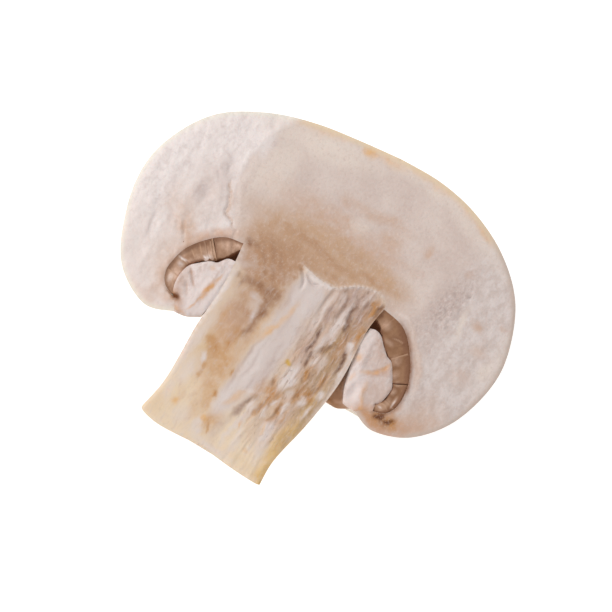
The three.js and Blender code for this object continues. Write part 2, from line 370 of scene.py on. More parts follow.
def turnedPiece(name, shape, height, onAxis=True, behind=None):
    # A piece swept half way round the axis between its right and left sections, with its cut face filled in
    right = outlineOf(shape["stretches"], "right")
    left = outlineOf(shape["stretches"], "left")
    farLeft = left * (-1, 1)
    count = len(right)
    startTurn = sideTurn(right, height(right[:, 0], right[:, 1]))
    endTurn = pi - sideTurn(left, height(-left[:, 0], left[:, 1]))
    steps = np.linspace(0, 1, shape["rings"] + 1)
    close = 0.05 / shape["rings"]  # one more ring close behind each cut edge keeps that edge crisp
    steps = np.sort(np.append(steps, [close, 1 - close]))[:, None]
    turn = startTurn + (endTurn - startTurn) * steps
    share = (1 - np.cos(turn)) / 2
    radius = right[:, 0] * (1 - share) + left[:, 0] * share
    level = right[:, 1] * (1 - share) + left[:, 1] * share
    if behind:
        radius, level = behind(pi * steps, radius, level)
    swept = np.stack([radius * np.cos(turn), level, -radius * np.sin(turn)], axis=-1)
    index = np.arange(len(steps) * count).reshape(len(steps), count)
    poles = np.where(right[:, 0] < 1e-6)[0] if onAxis else []
    for i in poles:
        index[:, i] = index[0, i]
        swept[0, i, 2] = height(np.zeros(1), right[i:i + 1, 1])[0]
    verts = list(swept.reshape(-1, 3))
    faces = []
    for ring, following in zip(index[:-1], index[1:]):
        for i in range(count):
            corners = [ring[i], ring[(i + 1) % count], following[(i + 1) % count], following[i]]
            kept = [c for n, c in enumerate(corners) if c != corners[n - 1]]
            if len(kept) > 2:
                faces.append(kept)
    if onAxis:
        loops = [(np.vstack([right, farLeft[-2:0:-1]]), [*index[0], *index[-1][-2:0:-1]])]
    else:
        loops = [(right, list(index[0])), (farLeft[::-1], list(index[-1][::-1]))]
    onCut = np.zeros(len(verts))
    for loop, border in loops:
        points, triangles = fillFlat(loop, shape["spacing"])
        inner = points[len(loop):]
        lookup = border + list(range(len(verts), len(verts) + len(inner)))
        verts.extend(np.column_stack([inner, height(*inner.T)]))
        onCut[border] = 1
        onCut = np.append(onCut, np.ones(len(inner)))
        faces.extend([lookup[i] for i in t] for t in triangles)
    border = [(a, b) for _, ring in loops for a, b in zip(ring, ring[1:] + ring[:1])]
    return buildMesh(name, np.array(verts), faces, onCut, border)


class NodeMaker:
    # Adds nodes to one tree
    def __init__(self, tree):
        self.tree = tree

    def node(self, kind, settings=None, values=None, out=0):
        # a short kind is a shader's; the others give their whole type
        made = self.tree.nodes.new(kind if "Node" in kind else "ShaderNode" + kind)
        for key, value in (settings or {}).items():
            setattr(made, key, value)
        for key, value in (values or {}).items():
            if isinstance(value, Signal):
                self.tree.links.new(value.socket, made.inputs[key])
            else:
                made.inputs[key].default_value = value
        return Signal(self, made.outputs[out])


class Signal:
    # A node's output; sums with it add Math nodes
    def __init__(self, maker, socket):
        self.maker = maker
        self.socket = socket

    def maths(self, operation, other=0.0, swapped=False):
        first, second = (other, self) if swapped else (self, other)
        return self.maker.node("Math", {"operation": operation}, {0: first, 1: second})

    def __add__(self, other):
        return self.maths("ADD", other)

    def __sub__(self, other):
        return self.maths("SUBTRACT", other)

    def __rsub__(self, other):
        return self.maths("SUBTRACT", other, swapped=True)

    def __mul__(self, other):
        return self.maths("MULTIPLY", other)

    def __truediv__(self, other):
        return self.maths("DIVIDE", other)

    __radd__ = __add__
    __rmul__ = __mul__

    def between(self, low, high, bottom=0.0, top=1.0):
        # smoothly from bottom to top while this goes from low to high
        values = {"Value": self, "From Min": low, "From Max": high, "To Min": bottom, "To Max": top}
        return self.maker.node("MapRange", {"interpolation_type": "SMOOTHSTEP"}, values)


def tint(red, green, blue):
    # a colour given as 0 to 255
    def linear(level):
        level /= 255
        return level / 12.92 if level <= 0.04045 else ((level + 0.055) / 1.055) ** 2.4
    return (linear(red), linear(green), linear(blue), 1)


def setInputs(node, values):
    for key, value in values.items():
        node.inputs[key].default_value = value


class Paint(NodeMaker):
    # One procedural material, worked out in the mushroom's own frame in millimetres
    def __init__(self, name, palette):
        self.material = bpy.data.materials.new(name)
        self.material.use_nodes = True
        self.palette = palette
        super().__init__(self.material.node_tree)
        self.shader = self.tree.nodes["Principled BSDF"]
        setInputs(self.shader, {"Specular IOR Level": 0.2})
        spin = fromRow.to_3x3().normalized().to_euler()
        around = self.node("TexCoord", out="Object")
        self.place = self.node("Mapping", {}, {"Vector": around, "Location": fromRow.to_translation(),
                                               "Rotation": spin, "Scale": (1000, 1000, 1000)})
        self.flat = self.vector("MULTIPLY", self.place, (1, 1, 0))  # the place on the cut plane
        self.u, self.v, self.w = (self.node("SeparateXYZ", {}, {0: self.place}, out=n) for n in range(3))

    def vector(self, operation, first, second):
        return self.node("VectorMath", {"operation": operation}, {0: first, 1: second})

    def attribute(self, name):
        return self.node("Attribute", {"attribute_name": name}, out="Fac")

    def mix(self, factor, first, second):
        # from the first colour to the second; a colour is a signal or a name in the palette
        colours = {6: first, 7: second}
        for key, value in colours.items():
            if not isinstance(value, Signal):
                colours[key] = tint(*self.palette[value])
        return self.node("Mix", {"data_type": "RGBA"}, {0: factor, **colours}, out=2)

    def over(self, colour, *layers):
        # lays colours over the one below, each through its mask
        for mask, tone in layers:
            colour = self.mix(mask, colour, tone)
        return colour

    def noise(self, place, detail, rough, out=0):
        values = {"Vector": place, "Scale": 1.0, "Detail": detail, "Roughness": rough}
        return self.node("TexNoise", {}, values, out)

    def grain(self, place, size, detail=3.0, rough=0.55):
        # noise of about 0.3 to 0.7 with grains of the given size in millimetres, or one size each way
        sizes = size if isinstance(size, tuple) else (size, size, size)
        return self.noise(self.vector("MULTIPLY", place, tuple(1 / s for s in sizes)), detail, rough)

    def warped(self, place, size, amount):
        # the same place, pushed about by noise
        push = self.noise(self.vector("MULTIPLY", place, (1 / size,) * 3), 2.0, 0.5, out="Color")
        push = self.vector("SUBTRACT", push, (0.5, 0.5, 0.5))
        return self.vector("ADD", place, self.vector("MULTIPLY", push, (2 * amount, 2 * amount, 0)))

    def stains(self, colour, layers, ragged):
        # lays each stain over the colour below it, patchy where noise says so
        for name, (tone, amount, *_) in layers.items():
            stain = self.node("Math", {"operation": "MULTIPLY", "use_clamp": True},
                              {0: self.attribute(name), 1: 1.0 + ragged * amount})
            colour = self.mix(stain, colour, tone)
        return colour

    def soak(self):
        # light that soaks into the flesh
        setInputs(self.shader, {"Subsurface Weight": 0.1, "Subsurface Radius": (1.0, 0.6, 0.45),
                                "Subsurface Scale": 0.001})

    def finish(self, colour, rough, height, bump):
        setInputs(self.shader, {"Roughness": rough})
        normal = self.node("Bump", {}, {"Strength": bump, "Distance": 0.0002, "Height": height})
        self.tree.links.new(colour.socket, self.shader.inputs["Base Color"])
        self.tree.links.new(normal.socket, self.shader.inputs["Normal"])
        return self.material


def along(path, width, strength=1.0):
    # Ovals that follow a path
    ovals = []
    for (u0, v0), (u1, v1) in zip(path, path[1:]):
        reach = np.hypot(u1 - u0, v1 - v0) / 2
        turned = np.degrees(atan2(u0 - u1, v1 - v0))
        ovals.append(((u0 + u1) / 2, (v0 + v1) / 2, width, reach + width * 0.8, turned, strength))
    return ovals


def addStains(piece, layers, bends=((4, 0.4), (1.2, 0.25))):
    # Each layer becomes one attribute. An oval is its middle u and v, half width, half height, turn in
    # degrees if it has one, and strength. A stroke is its path, half width and strength.
    u, v, w = placesOf(piece).T
    for n, (size, push) in enumerate(bends):
        u, v = u + push * lumps(u, v, size, 2, 20 + 2 * n), v + push * lumps(u, v, size, 2, 21 + 2 * n)
    for name, (*_, feather, entries) in layers.items():
        ovals = []
        for entry in entries:
            ovals += along(*entry) if isinstance(entry[0], list) else [entry]
        stain = np.zeros_like(u)
        for middleU, middleV, wide, high, *turned, strength in ovals:
            lean = radians(sum(turned))
            across = ((u - middleU) * cos(lean) + (v - middleV) * sin(lean)) / wide
            upward = ((v - middleV) * cos(lean) - (u - middleU) * sin(lean)) / high
            stain = np.maximum(stain, strength * ease(1 + feather, 1 - feather, np.hypot(across, upward)))
        addAttribute(piece, name, stain)


# Cut flesh of the cap and the stem. A layer is its colour, how ragged and how soft it is, and its ovals.
flesh = {
    "capPale": (213, 196, 187), "capRosy": (204, 185, 176), "capEdge": (223, 208, 197),
    "capRight": (200, 184, 177), "capRightPale": (212, 199, 194), "capGrain": (186, 164, 153),
    "torn": (226, 215, 211), "tornShade": (214, 201, 197), "tornWarm": (218, 203, 196),
    "dimple": (201, 185, 180), "pit": (180, 159, 152), "fringe": (224, 207, 198), "margin": (193, 149, 119),
    "tan": (193, 158, 129), "tanFaint": (199, 168, 148), "brown": (178, 138, 107),
    "darkBrown": (146, 106, 79), "peatBrown": (104, 58, 26), "root": (140, 98, 74),
    "stemCream": (214, 192, 172), "stemPink": (198, 164, 141), "stemLow": (227, 206, 181),
    "stemTan": (198, 152, 106), "rustTan": (184, 130, 74), "stemOlive": (171, 137, 101),
    "stemGold": (214, 178, 122), "stemGrey": (182, 156, 146), "lilac": (208, 193, 187),
    "yellow": (198, 158, 78), "furrow": (122, 88, 68), "orange": (221, 172, 114), "white": (219, 205, 199),
    "lip": (226, 212, 205), "rim": (224, 202, 172), "rimShaded": (198, 180, 168), "rimTorn": (229, 224, 206),
    "stemBase": (195, 166, 146), "skin": (225, 214, 200), "skinTan": (204, 179, 148),
    "skinSpeck": (168, 134, 102), "stemSkin": (224, 210, 192), "stemSkinTan": (206, 180, 150),
}
marginOvals = [
    (14, -8, 2.6, 1.2, 6, 1), (12.3, -7.7, 0.9, 0.9, 1), (17.2, -6.9, 3, 1.1, 34, 0.8),
    (-14, -11.2, 3, 0.9, -8, 0.25), (-12.2, -9.6, 1, 0.5, 0.5), (-11, -9.9, 0.7, 0.4, 20, 0.6)]
tipHalo = [
    (14.1, -6.9, 0.9, 0.8, 10, 0.9), (15.5, -6.9, 0.9, 0.7, -20, 0.9), (-12.1, -8.9, 1, 0.4, -10, 0.9),
    (13.8, -7.8, 1.2, 0.3, 0.5)]
tipOvals = [
    ([(-13, -8.7), (-12.4, -9.05), (-11.8, -8.9)], 0.2, 0.9), (-11.8, -8.9, 0.4, 0.28, 1.4),
    (14.3, -6.7, 0.3, 0.4, 1.2), (14.1, -7.1, 0.55, 0.32, 20, 1.2), ([(15, -7.3), (15.5, -6.7)], 0.3, 0.9),
    (13.1, -6.1, 0.16, 0.14, 0.9)]
tipStains = {"tipHalo": ("rustTan", 1.6, 1, tipHalo), "tip": ("peatBrown", 2, 0.9, tipOvals)}
crack = cutFace["cracks"][0]
capStains = {
    "paleEdge": ("capEdge", 1, 0.8, [
        (-7.5, 14.2, 5.5, 1.5, 14, 0.85), (-10.4, 10, 1.8, 4, 0.6), (2, 17.2, 10, 1, 0.7),
        (10, 16.2, 6, 1.1, -20, 0.6), (21.5, 6, 1, 5, 0.4), (-11.6, 9, 0.7, 5, 0.5),
        (15.7, 6.6, 0.35, 1.7, 8, 0.8), (20.8, 3.8, 0.6, 1.4, 0.7)]),
    "orangeTop": ("orange", 2, 0.9, [
        (-3.1, 16.5, 0.9, 0.6, 10, 0.9), (-1.2, 16.8, 2, 0.6, 6, 0.4), (4.4, 17.6, 3.6, 0.5, 0.4),
        (9, 17.4, 1.6, 0.5, -16, 0.35), (11.9, 16.4, 1.4, 0.4, -24, 0.5), (-8.6, 15.4, 3, 0.5, 16, 0.3)]),
    "faintTan": ("tanFaint", 2.4, 0.8, [
        (4.3, 9.2, 1.2, 1.4, -20, 0.75), (1.5, 11, 3.4, 0.7, 5, 0.6), (-2, 10.6, 0.9, 0.9, 0.5),
        (-0.9, 8.6, 0.5, 0.4, 20, 0.8), (-1.5, 7.4, 6.5, 1.7, 0.8), (2.6, 7.2, 4, 0.8, 12, 0.9),
        (8.4, 10.9, 0.5, 0.6, 0.8), (8.2, 8, 1, 0.8, 10, 0.3), (17.3, 7.2, 0.6, 0.5, 0.7),
        (18.8, 5.1, 1, 0.7, 20, 0.4), (19.8, 8.7, 0.4, 0.3, 0.5), (13.4, 11.4, 0.5, 0.4, 0.5),
        (-14.4, -3.4, 1.6, 0.3, -50, 0.7), (-15.2, -6, 0.8, 2, 0.3), (19, 1.8, 1, 0.9, 0.3)]),
    "tan": ("tan", 1.4, 0.5, [
        (-1, 4.2, 8.6, 2.3, 0.95), (4.8, 5.2, 4.2, 1.6, 3, 0.9), (7.4, 4.8, 1.3, 0.7, 0.7),
        (0.6, 6.4, 3.4, 0.8, 0.8), (-5.6, 3, 4.2, 2.1, 14, 0.85), (0, 2.2, 4, 2, 0.9)]),
    "bands": ("brown", 3, 0.8, [
        (-1.7, 4.2, 4.8, 0.55, -2, 0.75), (5, 4.9, 2.4, 0.4, 4, 0.5), (-4.6, 1.8, 3, 1.2, 20, 0.6),
        (0.8, 2.8, 2.4, 0.4, 0.5), (1.6, 6, 2.4, 0.35, 6, 0.3)]),
    "lightSpot": ("capEdge", 4, 0.9, [(0.9, 9.2, 0.9, 0.9, 0.45), (-0.1, 8.6, 0.5, 0.3, -40, 0.4)]),
    "margin": ("margin", 1.6, 0.9, marginOvals),
    "rootShade": ("margin", 1, 0.9, [
        ([(15.35, -5), (15.2, -6.4)], 0.4, 0.8),
        ([(11.6, 2.5), (13.2, 1.1), (14.5, -0.6), (15.2, -2.2)], 0.45, 0.35),
        ([(-10.6, 0.3), (-12.4, -1), (-13.9, -3.2)], 0.6, 0.7),
        ([(-13.9, -3.2), (-14.5, -5.4), (-14.5, -7.2), (-14, -8.4)], 0.45, 0.45)]),
    "peach": ("tanFaint", 2, 0.9, [
        (-15, -2.4, 1.2, 2.4, 40, 0.8), (-16.4, -1, 1.6, 2.6, 30, 0.5), (-15.6, -5, 1.4, 3, 0.3),
        ([(-16.4, -1), (-15.4, -2.4), (-14.3, -3.7)], 0.3, 0.6), (18.6, -5.4, 2, 3, 24, 0.6),
        ([(-14.8, -3.6), (-15, -6)], 0.6, 0.3), ([(-14.7, -7.2), (-14.2, -8.6), (-14, -10)], 0.7, 0.55),
        ([(11.4, 2.9), (13.4, 1), (15, -1.6)], 0.5, 0.4)]),
    "rosyTorn": ("capRosy", 1.6, 0.9, [
        (-15.4, 3, 2.6, 2.6, 0.6), (-14, 0.6, 1.6, 1.2, 0.5), (-13.6, 1.4, 0.8, 1.6, 20, 0.4)]),
    "cool": ("dimple", 1.6, 0.9, [
        ([(-18.9, -2.6), (-18.8, -4.4), (-18, -6)], 0.22, 0.35), ([(-17.6, -1.6), (-17, -3)], 0.2, 0.4),
        (-15, 5.6, 1.4, 2, 0.3), ([(-19.6, 3), (-19.2, 0.6)], 0.3, 0.25),
        ([(-18.4, 4), (-18, 1.6)], 0.25, 0.25)]),
    "paleTorn": ("torn", 1.6, 0.9, [
        ([(-17.9, -2), (-17.7, -4)], 0.25, 0.8), (-13, 10.6, 0.6, 1.4, 10, 0.9),
        ([(-18.4, 8), (-17.8, 4), (-17.4, 1)], 0.5, 0.6)]),
}
pitStains = {
    "pits": ("pit", 6, 0.9, [
        (13.4, 7, 1.5, 4, -6, 0.5), (12, 3.4, 1, 1, 0.4), (14.2, 2.6, 1, 1.2, 30, 0.3),
        (16.4, -2.6, 1.5, 1.4, 0.2)]),
    # painted shade in the hollows of the dimples
    "dimples": ("dimple", 3, 0.8, [
        (-16, 2.4, 0.7, 1.3, 10, 0.7), (-15.4, 5.6, 0.8, 1, 0.35), (-12.3, 11, 0.2, 0.3, 0.8)]),
    # a pale fringe along the right gills' root; on the left a pale line beside the torn ridge's crest, a
    # painted highlight
    "fringe": ("fringe", 2, 0.8, [
        ([(9, 3.5), (10.9, 3.3), (12.9, 1.7), (14.5, -0.4), (15.7, -3)], 0.2, 0.5),
        ([(-13.3, 9), (-13.4, 7.4), (-13, 5.4), (-12.3, 3.6), (-11.2, 2)], 0.34, 0.8)]),
    "crackShade": ("brown", 3, 0.8, [
        (crack[:6], 0.16, 0.5), (crack[5:9], 0.12, 0.5), ([(-13.1, 3.6), (-12.6, 2.4)], 0.3, 0.3)]),
}
neckStains = {
    "neck": ("brown", 2, 0.7, [
        (-5.2, 0.6, 3.7, 2.7, 0.95), (-4.4, -2.4, 3, 3, 0.95), (-2.2, -0.4, 0.7, 1, 0.4)]),
    "neckDots": ("darkBrown", 2, 0.9, [
        (-8.5, 0.5, 0.36, 0.36, 0.9), (-7.7, 0.7, 0.6, 0.16, 0.5), (-7.6, -3.2, 0.3, 0.35, 0.5),
        ([(-6.4, 2.2), (-5, 0.2), (-3.8, -1.8)], 0.3, 0.35), ([(-5.2, 1.8), (-3.6, -0.4)], 0.25, 0.3),
        ([(-6.8, 1), (-5.6, -0.6), (-5.1, -2)], 0.25, 0.35)]),
}
stemStains = {
    "pinkSide": ("stemPink", 1.6, 0.8, [
        (-5.4, -7.4, 1.3, 3.4, 0.95), (-4.2, -6.6, 1, 1.6, 0.9), (-6.4, -3.4, 1, 2.4, 0.3),
        (2.9, -5.8, 0.4, 1.8, 0.6), (6, -13.6, 1.2, 3, 0.3), (-4.4, -4, 1.6, 1.8, 0.4)]),
    "tanLow": ("stemTan", 1.6, 0.8, [
        (-3.7, -12, 1.7, 2.8, 0.75), (-4.6, -9.4, 1.4, 1.6, 0.5), (-2.8, -15.4, 1, 2.8, 8, 0.6),
        (-2.4, -7, 0.5, 3.6, 0.45), (-6.1, -7.6, 0.4, 1.3, 0.5), (-0.9, -17.8, 0.8, 1.4, 0.75),
        (3.4, -13, 1.8, 1.8, 0.12), ([(-3.2, -15.6), (-3, -18.4)], 0.8, 0.4),
        ([(-5.4, -11.4), (-5.2, -13.6)], 0.35, 0.5)]),
    "neckLow": ("brown", 1.6, 0.8, [
        (-4.3, -2, 2.6, 2.4, 0.95), (-5.5, -4.6, 0.9, 1.9, 0.55), (-3.2, -6, 0.55, 2.6, 4, 0.7),
        (-4.3, -8.2, 0.5, 1.2, 0.5), (-4.6, -6.4, 1.2, 1, 0.6), (-2.9, -3.2, 0.5, 1.6, 0.6)]),
    "brownSide": ("darkBrown", 2, 0.9, [
        ([(-6.4, -2.9), (-5.3, -2.6), (-4.2, -2.6), (-3.3, -3.1), (-3, -4.2), (-3, -5.6)], 0.5, 0.75),
        ([(-6.7, -3), (-6.6, -3.8)], 0.2, 0.5), ([(-3, -5.4), (-3.1, -7), (-3.5, -8.3)], 0.3, 0.6),
        (-3.3, -2.9, 0.9, 0.7, 0.7), (-2.6, -3.6, 0.5, 0.7, 0.4), (-7.6, -3.1, 0.25, 0.3, 0.5)]),
    "gold": ("stemGold", 1.5, 0.9, [
        ([(7.4, -12.6), (6.9, -14.8), (6.7, -16.4), (7.1, -18.2), (7.3, -20.3)], 0.8, 0.95),
        (-5.4, -17, 0.8, 1.6, 0.2), (4.8, -19.6, 2, 0.6, 0.15), (-7, -19.6, 1.2, 1.4, 0.2),
        (-6.2, -12, 0.8, 2.2, 0.35), (7.6, -19.8, 0.6, 1.6, 0.3), (7.4, -20.3, 0.4, 0.4, 1),
        ([(7.3, -8.8), (7.2, -12.4)], 0.5, 0.7)]),
    "olive": ("stemOlive", 1.6, 0.8, [
        (6.3, 0, 1, 1.9, 0.95), (6, -2.2, 0.6, 1.8, 8, 0.9), (6.3, -5, 0.75, 1.6, 1),
        ([(6.2, -6), (6.5, -8), (6.5, -11.6)], 0.55, 0.8), (5.2, -8.4, 0.7, 1.6, 0.8),
        (7.5, -6.6, 0.4, 2, 0.5), (7.6, -10.4, 0.5, 3, 0.7), (4.9, -10.6, 1, 0.6, 0.6),
        ([(5.8, 0), (5.9, -2.4), (5.5, -3.6), (4.7, -4.6)], 0.6, 1), ([(6.9, -0.4), (6.8, -1.8)], 0.3, 0.6),
        ([(6.8, -8), (6.7, -12.8)], 0.4, 0.8), (6.9, -15, 0.4, 1.6, 0.5)]),
    "browner": ("brown", 2.4, 0.9, [
        ([(6.6, 1.6), (6.4, -1), (6.5, -4.4)], 0.6, 0.9), ([(5.1, -6.6), (5.3, -9.6)], 0.4, 0.6),
        ([(3, 1.4), (3.4, -2)], 0.3, 0.4), (5.2, -15, 0.6, 1.6, 0.3), (4, -7, 0.4, 1, 0.4),
        ([(2.3, 1), (2.4, -5)], 0.16, 0.5)]),
    "greyTop": ("stemGrey", 2, 0.9, [
        (4.8, 1.6, 2.2, 2.2, 0.75), (3.2, -0.8, 0.5, 1.4, 0.7), (2.5, -3.8, 0.5, 1.8, 0.5),
        (4.6, -2, 0.6, 2.6, 0.5), (3.5, -5.4, 0.5, 1.8, 0.5), (0.3, -18, 0.5, 1.4, 0.4)]),
    "lilac": ("lilac", 1, 0.4, [
        (0, -1, 1.95, 3.4, 1), (0.1, -6, 1.8, 4.8, 1), (0.1, -10, 1.75, 4, 1),
        (-0.6, -14, 1.2, 2.9, -6, 0.95)]),
    "stripLines": ("stemGrey", 1.2, 0.9, [
        ([(-1.6, -0.6), (-1.5, -4)], 0.2, 0.35), ([(-1.5, -8), (-1.6, -11), (-1.3, -14)], 0.2, 0.5),
        ([(-0.7, -9), (-0.9, -12)], 0.2, 0.35), ([(0.8, -7), (1, -11)], 0.25, 0.4),
        ([(1.5, -2), (1.6, -6)], 0.2, 0.4), ([(1.1, -14), (0.8, -16)], 0.35, 0.7),
        ([(-0.2, -3), (-0.1, -6)], 0.18, 0.25), ([(0.5, -11), (0.3, -14)], 0.22, 0.35),
        ([(1.6, -7.6), (1.4, -12)], 0.2, 0.4)]),
    "stripLights": ("white", 1.2, 0.9, [
        ([(-1.1, -8), (-1.1, -12)], 0.22, 0.8), ([(-0.3, -8), (-0.2, -13)], 0.35, 0.8),
        ([(0.4, 0.6), (0.5, -3)], 0.5, 0.5), ([(-0.9, -13), (-1.3, -16.4)], 0.4, 0.7),
        ([(-1, 0.6), (-1.1, -1.6)], 0.4, 0.5), ([(1.9, -12.4), (0.4, -13.1)], 0.18, 0.8)]),
    "brownRight": ("furrow", 2, 0.8, [
        ([(5.3, 1.5), (5.1, 0.5), (5.3, -0.6), (5.8, -1.6)], 0.26, 0.75),
        ([(3.4, -2.6), (3.55, -4.2), (3.5, -5.7)], 0.17, 0.8),
        ([(4, -5.3), (4.15, -6.2), (4.2, -7.1)], 0.16, 0.8),
        ([(3.9, 1.9), (4.2, 0.4), (4.1, -0.9)], 0.26, 0.4),
        ([(7.15, -3.4), (7.4, -4), (7.5, -5.6)], 0.22, 1), ([(7.2, 2.8), (7.4, 2.3)], 0.16, 0.9),
        ([(7.6, 3.3), (7.5, 1.4)], 0.22, 0.7), (7.1, 2.1, 0.24, 0.4, 0.9), (6.8, 2.9, 0.2, 0.2, 0.7),
        ([(6.1, 2.6), (6, 1.4)], 0.16, 0.4), ([(5.6, -3.4), (5, -4.3), (4.6, -5)], 0.2, 0.5),
        ([(3.3, 2.7), (3.5, 1.8)], 0.2, 0.35), ([(5, 3.3), (5.1, 1.8)], 0.16, 0.4),
        ([(1.8, -12.9), (1.3, -14), (0.7, -15.8)], 0.3, 0.4)]),
    "tanRight": ("rustTan", 1.4, 0.8, [
        (3.2, -11.4, 1.1, 0.7, -10, 0.85), ([(3.1, -11.8), (3.2, -13)], 0.45, 0.75),
        (5.2, -11, 0.8, 0.3, 20, 0.6), ([(2.3, -9.9), (2.5, -11)], 0.22, 0.6),
        ([(4.6, -12), (4.6, -13.4), (4.3, -14.4)], 0.32, 0.8), ([(2.9, -13), (2.8, -14.6)], 0.15, 0.8),
        (6.4, -9.6, 0.6, 0.8, 0.9), (1.6, -12, 0.5, 1.2, 0.4), (2.4, -11.6, 0.5, 0.6, 0.6),
        ([(7, -6.6), (6.9, -8.8)], 0.25, 0.7), ([(5.4, -9.4), (5.3, -10.8)], 0.2, 0.8),
        ([(4.9, -6.9), (5, -8.2)], 0.25, 0.8), ([(7.3, -0.2), (7.3, -1.4), (7.7, -2.2)], 0.34, 0.9),
        ([(6.9, 3.1), (6.9, 1.5)], 0.36, 0.95), ([(7.6, 3), (7.6, 0.6)], 0.2, 0.3),
        ([(-6, -10.6), (-5.4, -10.8), (-4.9, -11.6)], 0.5, 0.6), ([(-3.9, -8.2), (-4.1, -9.9)], 0.45, 0.8),
        ([(-5, -13), (-4.7, -14.8)], 0.2, 0.5), (-2.2, -15.3, 0.22, 0.45, 0.8),
        (-1.9, -12.3, 0.15, 0.4, 0.8), ([(-0.8, -18.3), (-0.5, -19.2)], 0.15, 0.8),
        ([(2.6, -12.8), (2.6, -15.2)], 0.18, 0.7), ([(2, -14.6), (2.1, -16.4)], 0.14, 0.7),
        ([(5.4, -12.6), (5.5, -14.4)], 0.16, 0.5)]),
    "patch": ("lilac", 2.4, 0.9, [
        ([(-4.8, -3.9), (-4, -4.1), (-3.6, -5.4), (-3.6, -6.4)], 0.3, 0.75), (-4.4, -4.9, 0.4, 0.5, 0.4),
        (-4.4, -9, 0.3, 0.5, 0.3)]),
    "pale": ("white", 1.4, 0.7, [
        ([(3.5, -8), (3.4, -10.4)], 0.5, 1), ([(4.2, -8.9), (3.9, -10.5)], 0.3, 0.8),
        (4.6, -1.3, 0.42, 2.1, 0.75), (7.25, -2.5, 0.3, 0.65, -14, 0.8),
        ([(7.6, -2.9), (7.95, -4), (8.1, -6.6)], 0.2, 0.7), ([(5.2, -2.6), (5.1, -3.6)], 0.12, 0.7),
        (4.3, -4, 0.26, 1.2, 0.8), (5.6, -5.7, 0.45, 0.8, 0.45), (4.8, -6.2, 0.25, 0.7, 0.6),
        (2.5, -1.4, 0.3, 2.6, 0.6), (7.9, -0.4, 0.3, 1, 0.3), (7.55, -8.7, 0.3, 0.5, 0.8),
        ([(4.2, -11.6), (3.7, -12.7)], 0.12, 0.9), ([(5, -11.4), (5.2, -13.3)], 0.22, 0.8),
        (1.8, -14.2, 0.25, 0.8, 0.7), (3.4, -13.8, 0.25, 0.8, 0.7), (5, -15.4, 0.8, 1.5, 0.8),
        ([(2.2, -14.2), (2, -16.6)], 0.4, 0.7), (6.2, -10.5, 0.35, 0.7, 0.8), (7.4, -11.3, 0.15, 0.9, 0.7),
        ([(1.5, -16), (1.5, -19)], 0.25, 0.7), (2.4, -17, 0.15, 1.2, 0.6), (4.3, -18, 0.25, 0.7, 0.5),
        (-5.5, -12.6, 0.26, 0.55, 16, 0.95), (-1.4, -19.7, 0.3, 0.5, 0.7),
        ([(-8, -2.4), (-7.9, -9)], 0.3, 0.7), (-7.3, -12, 0.5, 3.4, 0.5), (-6.1, -14.6, 0.7, 1.8, 0.5),
        (-3.9, -19, 0.8, 1, 0.4), (-1.9, -19.2, 0.4, 1, 0.6), (2.7, -18.6, 0.4, 1.4, 0.5),
        (5.5, -17.4, 0.6, 1.4, 0.5), (-6.6, -17.6, 0.5, 1.2, 0.35), (4.8, -10.8, 0.4, 0.6, 0.6),
        (0.6, -20.3, 2.4, 0.4, 0.5), (3.3, 1, 0.2, 1, 0.5), (4.7, 0.6, 0.2, 1.4, 0.5),
        (5.7, 2.6, 0.2, 1, 0.4), (1.4, 1.45, 0.5, 0.3, 0.9)]),
    "rust": ("orange", 1, 0.9, [
        ([(-0.3, -2.2), (-0.45, -3.6), (-0.8, -5)], 0.28, 0.45), ([(-0.8, -5), (-1.5, -7.1)], 0.34, 0.7),
        ([(0.3, -13.6), (-0.4, -15.1)], 0.32, 0.5), (-5.3, -18.3, 0.35, 0.35, 0.7),
        (-1.6, -18.1, 0.3, 0.3, 0.8), (2.1, -16.5, 0.12, 0.4, 0.7), (4.1, -18.4, 0.25, 0.25, 0.5),
        (4.4, -15.5, 0.15, 0.6, 0.6)]),
    "yellow": ("yellow", 1, 0.6, [(2.6, -7.95, 0.36, 0.3, 1), (7.4, -20.4, 0.3, 0.25, 0.4)]),
}


def paintFlesh(name):
    paint = Paint(name, flesh)
    u, v = paint.u, paint.v
    cloud = paint.grain(paint.flat, 4.5)
    fine = paint.grain(paint.warped(paint.flat, 1.5, 0.3), (0.32, 0.42, 1), 4, 0.7)
    ragged = paint.grain(paint.flat, 0.9, 4, 0.6) - 0.5
    mottle = paint.grain(paint.warped(paint.flat, 1.5, 0.5), (0.9, 1.4, 1), 4, 0.6)
    colour = paint.mix(cloud.between(0.35, 0.68), "capRosy", "capPale")
    rightTone = paint.mix(mottle.between(0.36, 0.62), "capRight", "capRightPale")
    # torn left side
    torn = paint.attribute("torn")
    wrinkle = paint.grain(paint.warped(paint.flat, 1, 0.6), (0.5, 0.7, 1), 4, 0.65)
    tornTone = paint.mix((mottle * 0.4 + wrinkle * 0.6).between(0.36, 0.55), "tornShade", "torn")
    tornTone = paint.mix((v - u * 0.1 + ragged * 6).between(3, -6, 0, 0.65), tornTone, "tornWarm")
    colour = paint.over(colour, ((u + ragged * 6).between(11, 15.5), rightTone),
                        (torn.between(-1.0, 0.3), tornTone))
    colour = paint.stains(colour, capStains, ragged)
    pitted = paint.grain(paint.warped(paint.flat, 0.8, 0.2), (0.28, 0.5, 1), 4, 0.65) - 0.5
    colour = paint.stains(colour, pitStains, pitted)
    colour = paint.stains(colour, {**neckStains, **tipStains}, ragged)
    grainy = 1.0 - torn.between(-1.0, 0.3, 0, 0.45)
    colour = paint.over(colour, (fine.between(0.5, 0.3, 0, 0.34) * grainy, "capGrain"),
                        (fine.between(0.5, 0.7, 0, 0.22), "lip"))
    return paint, colour, ragged, fine


